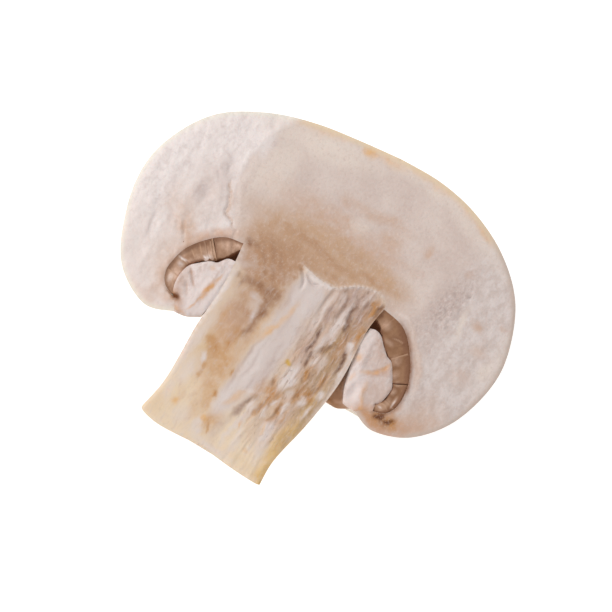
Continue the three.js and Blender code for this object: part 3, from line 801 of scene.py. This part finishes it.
def paintCap():
    paint, colour, ragged, fine = paintFlesh("capFlesh")
    rim = paint.attribute("rim").between(0.8, 0.05)
    torn = paint.attribute("torn")
    # painted shade: the skin's rim goes from cream at the top left to greyer at the lower right, where the
    # skin turns away from the light
    rimTone = paint.mix((paint.u - paint.v).between(-6, 2), "rim", "rimShaded")
    colour = paint.over(
        # painted shade next to the gills' root, from the root attribute
        colour, (paint.attribute("lip") * 0.9, "lip"), (paint.attribute("root") * 0.6, "root"),
        (rim * torn.between(1, -2, 0, 0.9), rimTone), (rim * torn.between(-1, 1, 0, 0.5), "rimTorn"))
    # the skin outside, with fibrils that run down from the crown
    way = paint.w.maths("ARCTAN2", paint.u)
    reach = (paint.u * paint.u + paint.w * paint.w).maths("SQRT")
    around = paint.node("CombineXYZ", {}, {"X": way * 18.0, "Y": reach, "Z": paint.v})
    fibril = paint.grain(paint.warped(around, 3, 0.8), (0.22, 2, 2), 4, 0.7)
    patch = paint.grain(paint.place, 9, 5, 0.65)
    dots = paint.grain(paint.warped(paint.place, 2, 0.6), 0.9, 4, 0.7)
    skin = paint.over(
        paint.mix(patch.between(0.46, 0.7, 0, 0.45), "skin", "skinTan"),
        (fibril.between(0.5, 0.34, 0, 0.22), "skinTan"), (dots.between(0.66, 0.76, 0, 0.4), "skinSpeck"))
    cut = paint.attribute("cut")
    paint.soak()
    return paint.finish(paint.mix(cut, skin, colour), 0.55, fine * cut + fibril * (1.0 - cut), 0.35)


def paintStem():
    paint, neck, ragged, fine = paintFlesh("stemFlesh")
    fibre = paint.grain(paint.warped(paint.place, 2.4, 0.5), (0.34, 3.4, 0.34), 4, 0.65)
    blotch = paint.grain(paint.warped(paint.place, 1.5, 0.5), (1.1, 2.6, 1.1), 5, 0.65)
    coarse = paint.attribute("coarse")
    streaky = (fibre - 0.5) * (coarse * 1.2 + 0.3) + ragged
    base = paint.over(
        paint.mix(paint.v.between(-11, -16.5), "stemCream", "stemLow"),
        (blotch.between(0.5, 0.3, 0, 0.35), "white"), (blotch.between(0.5, 0.7, 0, 0.35), "stemPink"),
        (blotch.between(0.58, 0.46, 0, 0.1) * (1.0 - coarse), "stemGold"),
        (coarse * (0.5 + blotch * 0.7), "stemBase"))
    base = paint.stains(base, stemStains, streaky)
    # dark and pale fibres, mostly on the right half
    speck = paint.grain(paint.warped(paint.place, 1, 0.3), (0.3, 0.9, 0.3), 4, 0.65)
    base = paint.over(
        base, (speck.between(0.46, 0.3) * (coarse * 0.34 + 0.1), "furrow"),
        (speck.between(0.52, 0.66) * (coarse * 0.1 + 0.24), "lilac"),
        (fibre.between(0.45, 0.3) * (coarse * 0.38 + 0.06), "furrow"),
        (fibre.between(0.54, 0.68) * (coarse * 0.2 + 0.24), "lilac"),
        (paint.attribute("furrow") * 0.35, "furrow"))
    high = paint.attribute("high") * (1.0 + ragged * 1.2)
    colour = paint.over(base, (high.between(0.25, 0.75), neck), (paint.attribute("lip") * 0.9, "lip"),
                        (paint.attribute("edge") * 0.7, "lip"))
    ending = (paint.v + ragged * 4).between(-18.5, -21)
    skin = paint.over(
        paint.mix(fibre.between(0.5, 0.3, 0, 0.3), "stemSkin", "stemSkinTan"),
        (blotch.between(0.5, 0.68, 0, 0.5), "stemSkinTan"), (ending * 0.4, "stemTan"),
        (ending * blotch.between(0.38, 0.78, 0, 0.6), "tan"))
    colour = paint.mix(paint.attribute("cut"), skin, colour)
    paint.soak()
    return paint.finish(colour, 0.6, fibre * (coarse * 0.8 + 0.2) + fine * 0.4, 0.45)


def lipShade(u, v):
    # the pale furry line along the lip, thicker in places
    thick = 1 + 0.6 * lumps(u, v, 0.7, 2, 31)
    return strokes(u, v, [cutFace["lip"], cutFace["paleLine"]], 0.19) * np.clip(thick, 0.3, 1)


capShape = {
    "stretches": [("skin", 190), ("seam", 8), ("roof", 45), ("seat", 30)],  # and their numbers of points
    "rings": 150,
    "spacing": 0.2,
    # turn round the axis from the right section, in radians, and rise
    "marginLift": [
        (0, 0), (0.25, 0.45), (0.6, 0.45), (0.95, 0.3), (1.57, 0.95), (2.54, 1.85), (2.84, 1.6), (3.14, 0)],
}


def liftMargin(turn, radius, level):
    # behind the cut the margin doesn't hang as low as it does at the torn left side
    lift = np.interp(turn, *np.array(capShape["marginLift"]).T)
    return radius, level + lift * ease(-2, -8, level)


cap = turnedPiece("mushroomCap", capShape, relief, behind=liftMargin)
u, v, w = placesOf(cap).T
rightRoof, leftRoof = (smoothLine(sections["roof"][side], 300) for side in ("right", "left"))
roofEdge = np.vstack([rightRoof[:255], leftRoof[:265] * (-1, 1)])  # all but its ends on the stem
# painted shade on the flesh next to the gills' root: weaker on the left, most of all low down, and stronger
# at the far right
rootFade = 1 - (0.3 + 0.25 * ease(-3.5, -5, v)) * (u < 0) + 0.5 * ease(11, 13, u) * ease(-4, -2.5, v)
addAttribute(cap, "torn", tornPart(u, v))
rim = nearest(u, v, skinEdge) + spot(u, v, (16, -8), (3.5, 1.6))  # the right margin has no pale rim
addAttribute(cap, "rim", rim)
addAttribute(cap, "lip", lipShade(u, v))
rootShade = ease(0.5, 0, nearest(u, v, roofEdge)) * (1 + 0.5 * lumps(u, v, 0.8, 2, 33)) * rootFade
addAttribute(cap, "root", rootShade)
addStains(cap, {**capStains, **pitStains, **neckStains})
addStains(cap, tipStains, [(0.5, 0.25)])
cap.data.materials.append(paintCap())
print("cap done", len(cap.data.polygons))

stemShape = {
    "stretches": [("-seat", 40), ("stemSide", 90), ("stemEnd", 30)],
    "rings": 120,
    "spacing": 0.17,
    "paleEdges": [[(7.9, -0.6), (8, -2), (8.35, -5), (8.4, -9), (8.1, -12)],
                  [(-8.7, -0.4), (-8.3, -3), (-8.1, -8), (-7.85, -13), (-7.6, -17.5), (-7.8, -20)]],
}
stemZones = {  # where the fibres are coarse, and where the cap's colours run on into the stem
    "coarse": (0.5, [(5.2, -3, 3.2, 9, 1), (4.5, -12, 3, 5, 0.7), (4.5, 2, 3.6, 2.6, 1)]),
    "high": (0.3, [(-6.2, 1, 4.2, 3.4, 1)]),
}
stem = turnedPiece("mushroomStem", stemShape, relief)
u, v, w = placesOf(stem).T
addAttribute(stem, "torn", tornPart(u, v))
addAttribute(stem, "furrow", strokes(u, v, cutFace["furrows"], cutFace["furrowWidth"] * 1.2))
addAttribute(stem, "lip", lipShade(u, v))
addAttribute(stem, "edge", strokes(u, v, stemShape["paleEdges"], 0.26))
stemLayers = {**capStains, **pitStains, **neckStains, **stemStains, **stemZones}
addStains(stem, stemLayers, [(1.6, 0.25), (0.6, 0.14)])
stem.data.materials.append(paintStem())
print("stem done", len(stem.data.polygons))

# The veil's lobes at the cut, puffed up between their edges. Further round it hugs the stem.
veilShape = {
    "stretches": [("veilRoof", 60), ("veilSeam", 12), ("veilHem", 14), ("veilLining", 40)],
    "rings": 120,
    "spacing": 0.15,
    "puff": 0.45,
    "roll": 0.9,  # width of the rounding at its free edge
    "rounding": 0.12,
    "lumps": 0.05,
    "sunk": 0.08,
    "foldDepth": 0.15,
    "ridgeHeight": 0.14,
    "valleyDepth": 0.3,
    "hug": 1.3,  # how far the curtain closes in on the stem behind the cut
    "hang": 1.35,
    "folds": [
        [(-12.3, -5.4), (-11.6, -6), (-10.9, -6.8)], [(-11.9, -6.7), (-11, -8)],
        [(11.8, -2), (11.5, -2.8), (10.3, -3.6)]],
    "ridges": [
        [(-9.3, -3), (-9.6, -6), (-9.9, -9)], [(10.9, -4.6), (11.1, -5.9), (11.8, -7.1), (12.2, -7.8)],
        [(8.9, -1), (9.2, -3), (9.9, -5)]],
    "valley": ((10.2, -6.6), (0.9, 1.9)),
}
veilEdge = np.vstack([bothSides(name, 60) for name, _ in veilShape["stretches"]])
leftLining = smoothLine(sections["veilLining"]["left"], 40) * (-1, 1)
veilJoint = np.vstack([bothSides("veilSeam", 40), leftLining[6:]])
freeEdge = np.vstack([bothSides("veilHem", 40), smoothLine(sections["veilLining"]["right"], 60)[:42]])


def veilHeight(u, v):
    w = -veilShape["rounding"] * np.clip(1 - nearest(u, v, veilEdge) / 0.3, 0, 1) ** 2
    edge = np.clip(1 - nearest(u, v, freeEdge) / veilShape["roll"], 0, 1)
    w += veilShape["puff"] * (np.sqrt(1 - edge ** 2) - 1)
    w += veilShape["lumps"] * lumps(u, v, (0.7, 1.1), 3, 12) - veilShape["sunk"]
    w -= veilShape["foldDepth"] * strokes(u, v, veilShape["folds"], 0.22)
    w += veilShape["ridgeHeight"] * strokes(u, v, veilShape["ridges"], 0.35)
    w -= veilShape["valleyDepth"] * spot(u, v, *veilShape["valley"])
    w -= cutFace["tornFall"] * np.maximum(tornPart(u, v), 0)
    joined = ease(0.9, 0.1, nearest(u, v, veilJoint))
    return w * (1 - joined) + relief(u, v) * joined


def hugStem(turn, radius, level):
    # a little way in from the right the veil's curtain closes round the stem and hangs lower
    radius, level = liftMargin(turn, radius, level)
    closed = ease(0.06, 0.3, turn) * ease(1.2, 0.5, turn)
    inner = ease(11.6, 9.4, radius) * ease(-2, -5, level)
    outer = ease(12, 10.6, radius) * ease(-5, -8, level)
    return radius - veilShape["hug"] * closed * inner, level - veilShape["hang"] * closed * outer


veilColours = {
    "white": (204, 185, 178), "bright": (219, 204, 199), "shade": (188, 156, 138),
    "orange": (217, 166, 118), "rosy": (200, 177, 166), "margin": (193, 149, 119),
    # behind is painted shade for the curtain in the gap back from the cut; behindHem is its own darker hem
    "peatBrown": (104, 58, 26), "behind": (182, 140, 112), "behindHem": (150, 102, 58),
    "rustTan": (178, 122, 74),
}
veilStains = {
    "rosy": ("rosy", 2, 0.9, [
        (12.4, -5.2, 1.3, 1.6, 1), (10.6, -1.8, 1.6, 1.4, -30, 0.7), (11.4, -3.4, 1, 1.2, 0.6)]),
    "bright": ("bright", 1.6, 0.8, [
        ([(9.6, -4.6), (10.2, -6.4), (10.9, -7.8)], 0.65, 1), (8.4, -0.8, 0.5, 1.8, 0.8),
        (-10.2, -6, 0.7, 2.2, 0.8), (-8.6, -6.6, 0.6, 2.8, 1), (-10, -8.8, 1.2, 1, 0.9),
        (-8.5, -8.7, 0.5, 0.9, 0.9), (-11.6, -8, 0.8, 0.5, 0.6)]),
    "shade": ("shade", 2, 0.9, [
        (veilShape["folds"][0], 0.12, 0.8), (veilShape["folds"][1], 0.16, 0.5),
        ([(12.2, -2), (11.6, -2.9), (10.8, -3.5)], 0.3, 0.8), (12, -2.3, 0.45, 0.6, 0.8),
        ([(9.1, 0), (10.2, -0.9), (11.1, -1.6)], 0.4, 0.45),
        ([(13.2, -3.6), (13.5, -4.6), (13.2, -6)], 0.14, 0.6), (-12.3, -7.2, 0.5, 1.2, 0.6),
        (-12, -8.2, 0.8, 0.4, 0.6)]),
    "margin": ("margin", 1.6, 0.9, marginOvals),
    **tipStains,
    "rust": ("orange", 1.2, 0.8, [
        ([(-8.95, -4.2), (-9.15, -5.4)], 0.14, 0.6), ([(-9.15, -5.2), (-9.4, -7)], 0.26, 1),
        ([(-9.25, -6.6), (-9.3, -7.6)], 0.2, 0.8), ([(-9.4, -7), (-9.6, -8.2), (-9.9, -9.2)], 0.1, 0.7),
        ([(11.8, -1.8), (11.4, -2.8), (10.8, -3.4)], 0.22, 0.6), ([(10.8, -3.4), (9.8, -4)], 0.2, 0.45),
        ([(11, -5), (11.2, -6), (11.7, -6.9), (12.15, -7.8)], 0.24, 0.45), (8.6, -2.9, 0.34, 0.4, 0.6),
        (9.2, -5.2, 0.2, 0.6, 0.3), (-10.25, -4, 0.3, 0.26, 0.4), ([(-11.2, -9.9), (-10, -10)], 0.2, 0.4)]),
}


def paintVeil():
    paint = Paint("veilSkin", veilColours)
    ragged = paint.grain(paint.flat, 0.6, 4) - 0.5
    fibre = paint.grain(paint.warped(paint.place, 1.2, 0.5), (0.4, 0.7, 0.5), 4, 0.65)
    colour = paint.stains(paint.mix(fibre.between(0.38, 0.62), "white", "bright"), veilStains, ragged)
    # painted shade: back from the cut, in the gap between the veil and the stem, the curtain is painted
    # darker brown, with its own darker hem low down
    behind = paint.mix((paint.v + ragged).between(-8.2, -8.8, 0, 0.7), "behind", "behindHem")
    colour = paint.mix(paint.w.between(-0.75, -1.7), colour, behind)
    paint.soak()
    return paint.finish(colour, 0.6, fibre, 0.4)


veil = turnedPiece("mushroomVeil", veilShape, veilHeight, onAxis=False, behind=hugStem)
addStains(veil, veilStains, [(1, 0.12), (0.4, 0.06)])
veil.data.materials.append(paintVeil())
print("veil done", len(veil.data.polygons))

# Gills: a fan of thin plates round the axis, and the broken plates that face out of the cut.
gillFan = {
    "count": 72,
    "thickness": 0.22,
    "firstTurn": 5,  # degrees round the axis, from the right
    "lastTurn": 175,
    "jitter": 0.3,  # of the step from one plate to the next
    "sway": 0.25,
    "swayAlong": 0.9,  # how fast the sway changes along a plate and from one to the next
    "swayBetween": 23.0,
    "seed": 4,
}
gillColours = {
    "plate": (129, 91, 64), "plateLight": (149, 111, 83), "pale": (206, 172, 151), "edge": (186, 150, 124),
    "glint": (224, 208, 200), "root": (118, 80, 58), "inner": (112, 74, 54), "gapLight": (170, 112, 80),
}
# A cut runs from the root to the gill's edge. The lifts are a plate's height over the flesh where it starts
# and where it ends, and its leads how strong the painted highlight along its start and the painted shade
# along its end are. A gap is how far a plate keeps from its first cut, as a share of the line.
cutPlates = {
    "right": {
        "cuts": [
            ((7.5, 2.9), (7.5, 1.6)), ((9.3, 3), (8.8, 1)), ((12.7, 0.45), (11.65, -0.8)),
            ((14.6, -2.4), (13.3, -3.15)), ((14.8, -5.3), (13.6, -5.1)), ((13.3, -6.85), (12.9, -6.35))],
        "lifts": [(-0.16, -0.12), (-0.08, -0.14), (-0.06, -0.16), (-0.1, -0.18), (-0.1, -0.12)],
        "leads": [(0, 0.2), (0.2, 0.45), (0.8, 1), (0.2, 0.2), (0.4, 0)],
        "gaps": [0, 0, 0, 0.004, 0, 0],
    },
    "left": {
        "cuts": [
            ((8.6, 0.1), (8.6, -0.4)), ((11.95, -1.4), (10.45, -2.95)), ((12.15, -1.65), (10.7, -3.15)),
            ((12.5, -2.2), (11.1, -3.5)), ((13.9, -5), (12.75, -5.1)), ((14.1, -6.8), (12.9, -6.9)),
            ((12.4, -9), (12, -8.6))],
        "lifts": [
            (-0.08, -0.14), (-0.08, -0.12), (-0.06, -0.14), (-0.1, -0.18), (-0.1, -0.14), (-0.08, -0.08)],
        "leads": [(0, 0.6), (0.9, 0.6), (0.9, 0.7), (0.7, 0.4), (0.5, 0.5), (0.9, 0)],
        "gaps": [0, 0.003, 0, 0, 0, 0, 0],
    },
    "thickness": 0.22,
    "fineness": 220,  # columns over the whole line
    "lap": 0.012,  # how far a plate runs on below the next, as a share of the line
    "shortfall": 0.002,  # how far it stays short of a gap instead
    "wander": 0.05,
    "roughness": 0.03,
    "sunk": 0.05,
    "rootSunk": 0.12,
    "edgeDroop": 0.05,
    "scratches": [
        [(10.5, 0.95), (11.1, 1.1), (11.7, 1.12)], [(-13.3, -3.7), (-12.4, -4.3)],
        [(-12.9, -2.7), (-12, -3.6)], [(-13.3, -7), (-13.1, -7.7), (-12.7, -8.3)],
        [(13.2, -5.9), (13.8, -5.6), (14.4, -5.9)]],
    "paleParts": [
        ((-13.4, -7.4), (1.2, 1.6)), ((-13.4, -7.2), (1, 1)), ((-13.2, -6.4), (1, 1)),
        ((-13.8, -5), (0.6, 1.2)), ((13, -2.3), (0.6, 0.9)), ((13.9, -3.9), (0.5, 0.7)),
        ((14, -5.2), (0.5, 0.9)), ((-11.2, -2.6), (0.5, 0.5)), ((-12.2, -4.1), (0.6, 0.8)),
        ((13.7, -6.1), (0.9, 0.7)), ((14.55, -4.6), (0.3, 1)), ((9, 1.7), (1.1, 0.9)),
        ((12.2, -0.9), (0.9, 0.9)), ((10.4, 0.3), (0.9, 0.5)), ((13.8, -2.9), (0.7, 0.5)),
        ((-10.4, -1), (1.8, 1.2)), ((-9.3, -0.4), (0.6, 0.5)), ((-11.6, -3), (0.9, 0.8)),
        ((-12.7, -4.8), (0.5, 0.5))],
    "glintMarks": [
        [(-11.8, -3.5), (-11.4, -3.6), (-11.1, -3.4)], [(-11.5, -3.9), (-11.2, -3.7)],
        [(-13.95, -5.05), (-13.5, -5.1), (-13, -5)]],
    "glintParts": [
        ((-13.5, -7.5), (0.45, 0.8)), ((-13.4, -5.7), (0.6, 0.5)), ((-11.2, -3.3), (0.7, 0.5)),
        ((-11.3, -3.6), (0.5, 0.4)), ((14.6, -4.9), (0.16, 0.9)), ((13.6, -6.1), (0.4, 0.2))],
    # painted shade along the left plates' edge, in the gap under the veil
    "veilEdgeShadeMarks": [[(-11.05, -3.7), (-11.6, -4.2), (-12.1, -4.7), (-12.5, -5.2), (-12.75, -5.8)]],
    "brownParts": [((-13.4, -5.7), (0.3, 0.35)), ((8.1, 2.3), (0.4, 0.4)), ((11, 1.1), (1.3, 0.6))],
}


class Growth(NodeMaker):
    # One geometry tree
    def __init__(self, name, inputs):
        super().__init__(bpy.data.node_groups.new(name, "GeometryNodeTree"))
        sockets = [("Geometry", "Geometry"), *inputs.items()]
        for label, kind in sockets:
            self.tree.interface.new_socket(label, in_out="INPUT", socket_type="NodeSocket" + kind)
        self.tree.interface.new_socket("Geometry", in_out="OUTPUT", socket_type="NodeSocketGeometry")
        given = self.tree.nodes.new("NodeGroupInput")
        self.given = {label: Signal(self, given.outputs[label]) for label, _ in sockets}

    def grow(self, kind, values, settings=None, out=0):
        return self.node("GeometryNode" + kind, settings, values, out)


def gillTree():
    tree = Growth("gillFan", {"Count": "Int", "Seed": "Int", "First Turn": "Float", "Last Turn": "Float",
                              "Thickness": "Float", "Sway": "Float", "Material": "Material"})
    given = tree.given
    spread = given["Last Turn"] - given["First Turn"]
    share = tree.grow("InputIndex", {}) / (given["Count"] - 1)
    jitter = tree.node("FunctionNodeRandomValue", {"data_type": "FLOAT"},
                       {"Min": -gillFan["jitter"], "Max": gillFan["jitter"], "Seed": given["Seed"]}, out=1)
    turn = given["First Turn"] + spread * share + jitter * (spread / given["Count"])
    spokes = tree.grow("MeshLine", {"Count": given["Count"]})
    spokes = tree.grow("StoreNamedAttribute", {"Geometry": spokes, "Name": "turn", "Value": turn},
                       {"data_type": "FLOAT", "domain": "POINT"})
    plates = tree.grow("InstanceOnPoints", {"Points": spokes, "Instance": given["Geometry"]})
    plates = tree.grow("RealizeInstances", {"Geometry": plates})
    turn, face, leftRadius, leftLevel, rightRadius, rightLevel = (
        tree.grow("InputNamedAttribute", {"Name": name}, {"data_type": "FLOAT"})
        for name in ("turn", "face", "leftRadius", "leftLevel", "rightRadius", "rightLevel"))
    cosine = turn.maths("COSINE")
    sine = turn.maths("SINE")
    leftShare = (1.0 - cosine) * 0.5
    radius = rightRadius + (leftRadius - rightRadius) * leftShare
    level = rightLevel + (leftLevel - rightLevel) * leftShare
    swing = (radius * gillFan["swayAlong"] + turn * gillFan["swayBetween"]).maths("SINE")
    side = face * given["Thickness"] + swing * given["Sway"]
    # out along the spoke, and a little to its side
    place = tree.node("CombineXYZ", {}, {"X": radius * cosine + side * sine, "Y": level,
                                         "Z": side * cosine - radius * sine})
    plates = tree.grow("SetPosition", {"Geometry": plates, "Position": place})
    plates = tree.grow("SetMaterial", {"Geometry": plates, "Material": given["Material"]})
    result = tree.tree.nodes.new("NodeGroupOutput")
    tree.tree.links.new(plates.socket, result.inputs[0])
    return tree.tree


def atShare(line, share):
    # the points at those shares along a sampled line
    at = np.asarray(share) * (len(line) - 1)
    return np.column_stack([np.interp(at, np.arange(len(line)), line[:, n]) for n in (0, 1)])


def slabFaces(rows, columns, base=0, mirror=1):
    # A closed slab from two grids of vertices, one behind the other: both faces, and the band round them
    size = rows * columns
    faces = []
    for i in range(rows - 1):
        for j in range(columns - 1):
            a = base + i * columns + j
            quad = [a, a + 1, a + columns + 1, a + columns][::mirror]
            faces += [quad, [q + size for q in reversed(quad)]]
    right = [i * columns + columns - 1 for i in range(1, rows)]
    back = [(rows - 1) * columns + j for j in range(columns - 2, -1, -1)]
    border = list(range(columns)) + right + back + [i * columns for i in range(rows - 2, 0, -1)]
    for a, b in zip(border, border[1:] + border[:1]):
        faces.append([base + b, base + a, base + a + size, base + b + size][::mirror])
    return faces


def gillPlate(rows=5, columns=16):
    # one gill plate as a flat closed slab; its places in both sections are kept as attributes
    inward = np.linspace(0.02, 1, rows)[:, None, None]
    shapes = {}
    for side in ("right", "left"):
        root, edge = (smoothLine(sections[name][side], columns) for name in ("gillRoot", "gillEdge"))
        shapes[side] = (root * (1 - inward) + edge * inward).reshape(-1, 2)
    flat = shapes["right"]
    verts = np.vstack([np.column_stack([flat, np.full(len(flat), level)]) for level in (0.5, -0.5)])
    plate = addObject("gillPlate", meshOf("gillPlate", verts, slabFaces(rows, columns)))
    addAttribute(plate, "face", verts[:, 2])
    for side in ("right", "left"):
        for n, what in enumerate(("Radius", "Level")):
            addAttribute(plate, side + what, np.tile(shapes[side][:, n], 2))
    return plate


def paintGills():
    paint = Paint("gillPlates", gillColours)
    streak = paint.grain(paint.warped(paint.place, 1, 0.3), 0.4, 4, 0.6)
    cloud = paint.grain(paint.flat, 1.6, 2)
    patchy = 1.0 + (streak - 0.5) * 2.0
    pale, root, brown, leadHighlight, glint, inner = (
        paint.attribute(name) for name in ("pale", "rootShade", "brownPartAndShade", "leadHighlight", "glint", "innerShade"))
    colour = paint.over(
        paint.mix(cloud.between(0.35, 0.65), "plate", "plateLight"),
        # painted highlight along each plate's start in the edge colour, and painted shade at the root and
        # along the inner edge
        (pale * patchy * 0.8, "pale"), (root * 0.85, "root"), (brown * 0.8, "root"), (leadHighlight * 0.8, "edge"),
        # painted light: deeper than 0.6 mm below the cut the plates are painted lighter and warmer, to lift
        # the shade in the gaps between them
        (glint * patchy, "glint"), (inner * 0.85, "inner"), (paint.w.between(-0.6, -1.3), "gapLight"))
    # painted light: the plates glow faintly in their own colour, as light let through them would
    setInputs(paint.shader, {"Emission Strength": 0.07})
    paint.tree.links.new(colour.socket, paint.shader.inputs["Emission Color"])
    return paint.finish(colour, 0.6, streak, 0.5)


gillMaterial = paintGills()
plate = gillPlate()
growing = plate.modifiers.new("fan", "NODES")
growing.node_group = gillTree()
for label, value in {"Count": gillFan["count"], "First Turn": radians(gillFan["firstTurn"]),
                     "Last Turn": radians(gillFan["lastTurn"]), "Thickness": gillFan["thickness"],
                     "Sway": gillFan["sway"], "Seed": gillFan["seed"], "Material": gillMaterial}.items():
    growing[growing.node_group.interface.items_tree[label].identifier] = value
bpy.context.view_layer.update()
fanMesh = bpy.data.meshes.new_from_object(plate.evaluated_get(bpy.context.evaluated_depsgraph_get()))
plate.modifiers.remove(growing)
bpy.data.objects.remove(plate)
fan = linkPiece("gillFan", fanMesh)
print("gill fan done", len(fan.data.polygons))


def brokenPlates(samples=400, rows=26):
    verts, faces, roots, leadHighlight, rootShade, innerShade = [], [], [], [], [], []
    for side, mirror in (("right", 1), ("left", -1)):
        torn = side == "left"
        lines = [smoothLine(sections[name][side], samples) for name in ("gillRoot", "gillEdge")]
        ends = [[np.hypot(*(line - point).T).argmin() / (samples - 1) for line, point in zip(lines, cut)]
                for cut in cutPlates[side]["cuts"]]
        gaps, lifts, leads = (cutPlates[side][key] for key in ("gaps", "lifts", "leads"))
        plates = zip(ends, ends[1:], gaps, gaps[1:], lifts, leads)
        for n, (start, end, gap, nextGap, (first, last), (pale, dark)) in enumerate(plates):
            columns = max(8, int((end[0] - start[0]) * cutPlates["fineness"]))
            run = np.linspace(0, 1, columns)
            lap = -cutPlates["shortfall"] if nextGap else cutPlates["lap"]
            root, edge = (atShare(line, start[i] + gap + (end[i] + lap - start[i] - gap) * run)
                          for i, line in enumerate(lines))
            width = np.hypot(*(root[-1] - root[0]))
            base = len(verts)
            for layer in (0, -cutPlates["thickness"]):
                for row, j in ((row, j) for row in range(rows) for j in range(columns)):
                    rough = noise.noise((root[j][0] * 3, root[j][1] * 3, 1.7 + n))
                    share = -0.5 + (1.52 + 0.1 * rough) * row / (rows - 1)  # 0 at the root, 1 at the edge
                    wander = cutPlates["wander"] * noise.noise((share * 4, n * 3.1, 0.4))
                    step = root[min(j + 1, columns - 1)] - root[max(j - 1, 0)]
                    p = root[j] * (1 - share) + edge[j] * share
                    p = p + step / max(np.hypot(*step), 1e-6) * wander
                    uneven = noise.noise((p[0] * 1.5, p[1] * 1.5, 3.1))
                    w = (first + (last - first) * run[j]) * ease(-0.02, 0.25, share) + layer
                    w += cutPlates["roughness"] * rough
                    w += cutPlates["roughness"] * uneven - cutPlates["edgeDroop"] * ease(0.85, 1, share)
                    w -= cutPlates["sunk"] + cutPlates["rootSunk"] * ease(0, -0.2, share)
                    verts.append((p[0] * mirror, p[1], w))
                    roots.append((root[j][0] * mirror, root[j][1]))
                    # painted highlight where a plate starts; painted shade where it ends, at its root and
                    # along its edge
                    leadHighlight.append(pale * ease(0.3, 0.04, run[j] * width + 0.08 * rough))
                    ending = dark * ease(0.24, 0.06, (0.985 - run[j]) * width + 0.04 * rough)
                    faded = 1 - (0.2 + 0.35 * ease(-3.4, -4.6, p[1]) if torn else 0.6 * ease(11, 9.5, p[0]))
                    rootShade.append(faded * max(ease(0.34, 0.02 if torn else 0.08, share), ending))
                    shaded = 0.93 - 0.13 * torn * ease(-2.8, -3.8, p[1]) * ease(-6, -5, p[1])
                    faint = 0.3 if p[1] < -5.6 or torn and -3.9 < p[1] < -3 else 1
                    innerShade.append(ease(shaded, 1.0, share + 0.04 * rough) * faint)
            faces += slabFaces(rows, columns, base, mirror)
    verts = np.array(verts)
    u, v = verts[:, :2].T
    verts[:, 2] += relief(*np.array(roots).T)
    pale, glint, brown = (sum(spot(u, v, *oval) for oval in cutPlates[key])
                          for key in ("paleParts", "glintParts", "brownParts"))
    brownWidth = 0.16 + 0.06 * lumps(u, v, 0.4, 2, 41)
    piece = buildMesh("brokenGills", verts, faces)
    addAttribute(piece, "leadHighlight", np.maximum(leadHighlight, strokes(u, v, cutPlates["scratches"], 0.07)))
    addAttribute(piece, "rootShade", rootShade)
    addAttribute(piece, "innerShade", innerShade)
    addAttribute(piece, "pale", 0.25 * (u < 0) + pale * 0.55)
    addAttribute(piece, "glint", np.maximum(strokes(u, v, cutPlates["glintMarks"], 0.13), glint * 0.6))
    # brown spots and crumbs, and painted shade along the left plates' edge under the veil
    addAttribute(piece, "brownPartAndShade", strokes(u, v, cutPlates["veilEdgeShadeMarks"], brownWidth) + brown)
    piece.data.materials.append(gillMaterial)
    return piece


broken = brokenPlates()
print("broken gills done", len(broken.data.polygons))

gillNodes = [node for node in frame["nodes"] if node.startswith("gill")]
pieces = [(cap, ["cap"], "cap_flesh"), (stem, ["stem"], "stem_flesh"), (veil, ["veil"], "veil"),
          (fan, gillNodes, "gills"), (broken, [], "gills")]
for piece, nodes, slot in pieces:
    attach(piece, "root")
    if nodes:
        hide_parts(*nodes)

# Studio: a pale lit table and soft light
studio = {
    "paper": {"Base Color": tint(240, 240, 240), "Roughness": 0.9, "Specular IOR Level": 0,
              "Emission Color": (1, 1, 1, 1), "Emission Strength": 0.45},
    "paperSize": 4,  # metres
    "sky": 0.6,
    "centre": (0.58, -1.6),  # of the view, in the mushroom's frame
    "width": 67.3,
    "lean": 34.87,
    "lens": 180,
    "sensor": 36,
    "aim": (0, 0, 0.015),  # of the lights, in metres in the row's frame
    # where it stands from the mushroom, in metres to the camera's right, up and towards it; size; watts
    "lights": {"keyLight": ((-0.5, 0.3, 0.4), 0.35, 2.75), "fillLight": ((0.15, 0.1, 0.75), 0.9, 1.0)},
}
reach = studio["paperSize"] / 2
corners = [(-reach, -reach, 0), (reach, -reach, 0), (reach, reach, 0), (-reach, reach, 0)]
floor = addObject("floor", meshOf("floor", corners, [(0, 1, 2, 3)]))
paper = bpy.data.materials.new("floorPaper")
paper.use_nodes = True
setInputs(paper.node_tree.nodes["Principled BSDF"], studio["paper"])
floor.data.materials.append(paper)

lean = radians(studio["lean"])
rightward = Vector((cos(lean), sin(lean), 0))
upward = Vector((-sin(lean), cos(lean), 0))
eye = Vector((*studio["centre"], studio["width"] * studio["lens"] / studio["sensor"]))
cameraData = bpy.data.cameras.new("camera")
cameraData.lens = studio["lens"]
cameraData.clip_start = 0.01
camera = addObject("camera", cameraData)
turnToFrame = Matrix((rightward, upward, rightward.cross(upward))).transposed()
camera.matrix_world = Matrix.Translation(toRow @ eye) @ (laidBack.to_3x3() @ turnToFrame).to_4x4()
bpy.context.scene.camera = camera

world = bpy.data.worlds.new("studio")
world.use_nodes = True
setInputs(world.node_tree.nodes["Background"], {"Color": (1, 1, 1, 1), "Strength": studio["sky"]})
bpy.context.scene.world = world
aim = Vector(studio["aim"])
for name, (place, size, watts) in studio["lights"].items():
    light = bpy.data.lights.new(name, "AREA")
    light.size = size
    light.energy = watts
    lamp = addObject(name, light)
    lamp.location = camera.matrix_world.to_3x3() @ Vector(place) + aim
    lamp.rotation_euler = (aim - lamp.location).to_track_quat("-Z", "Y").to_euler()
bpy.context.scene.view_settings.view_transform = "Standard"
print("studio done")
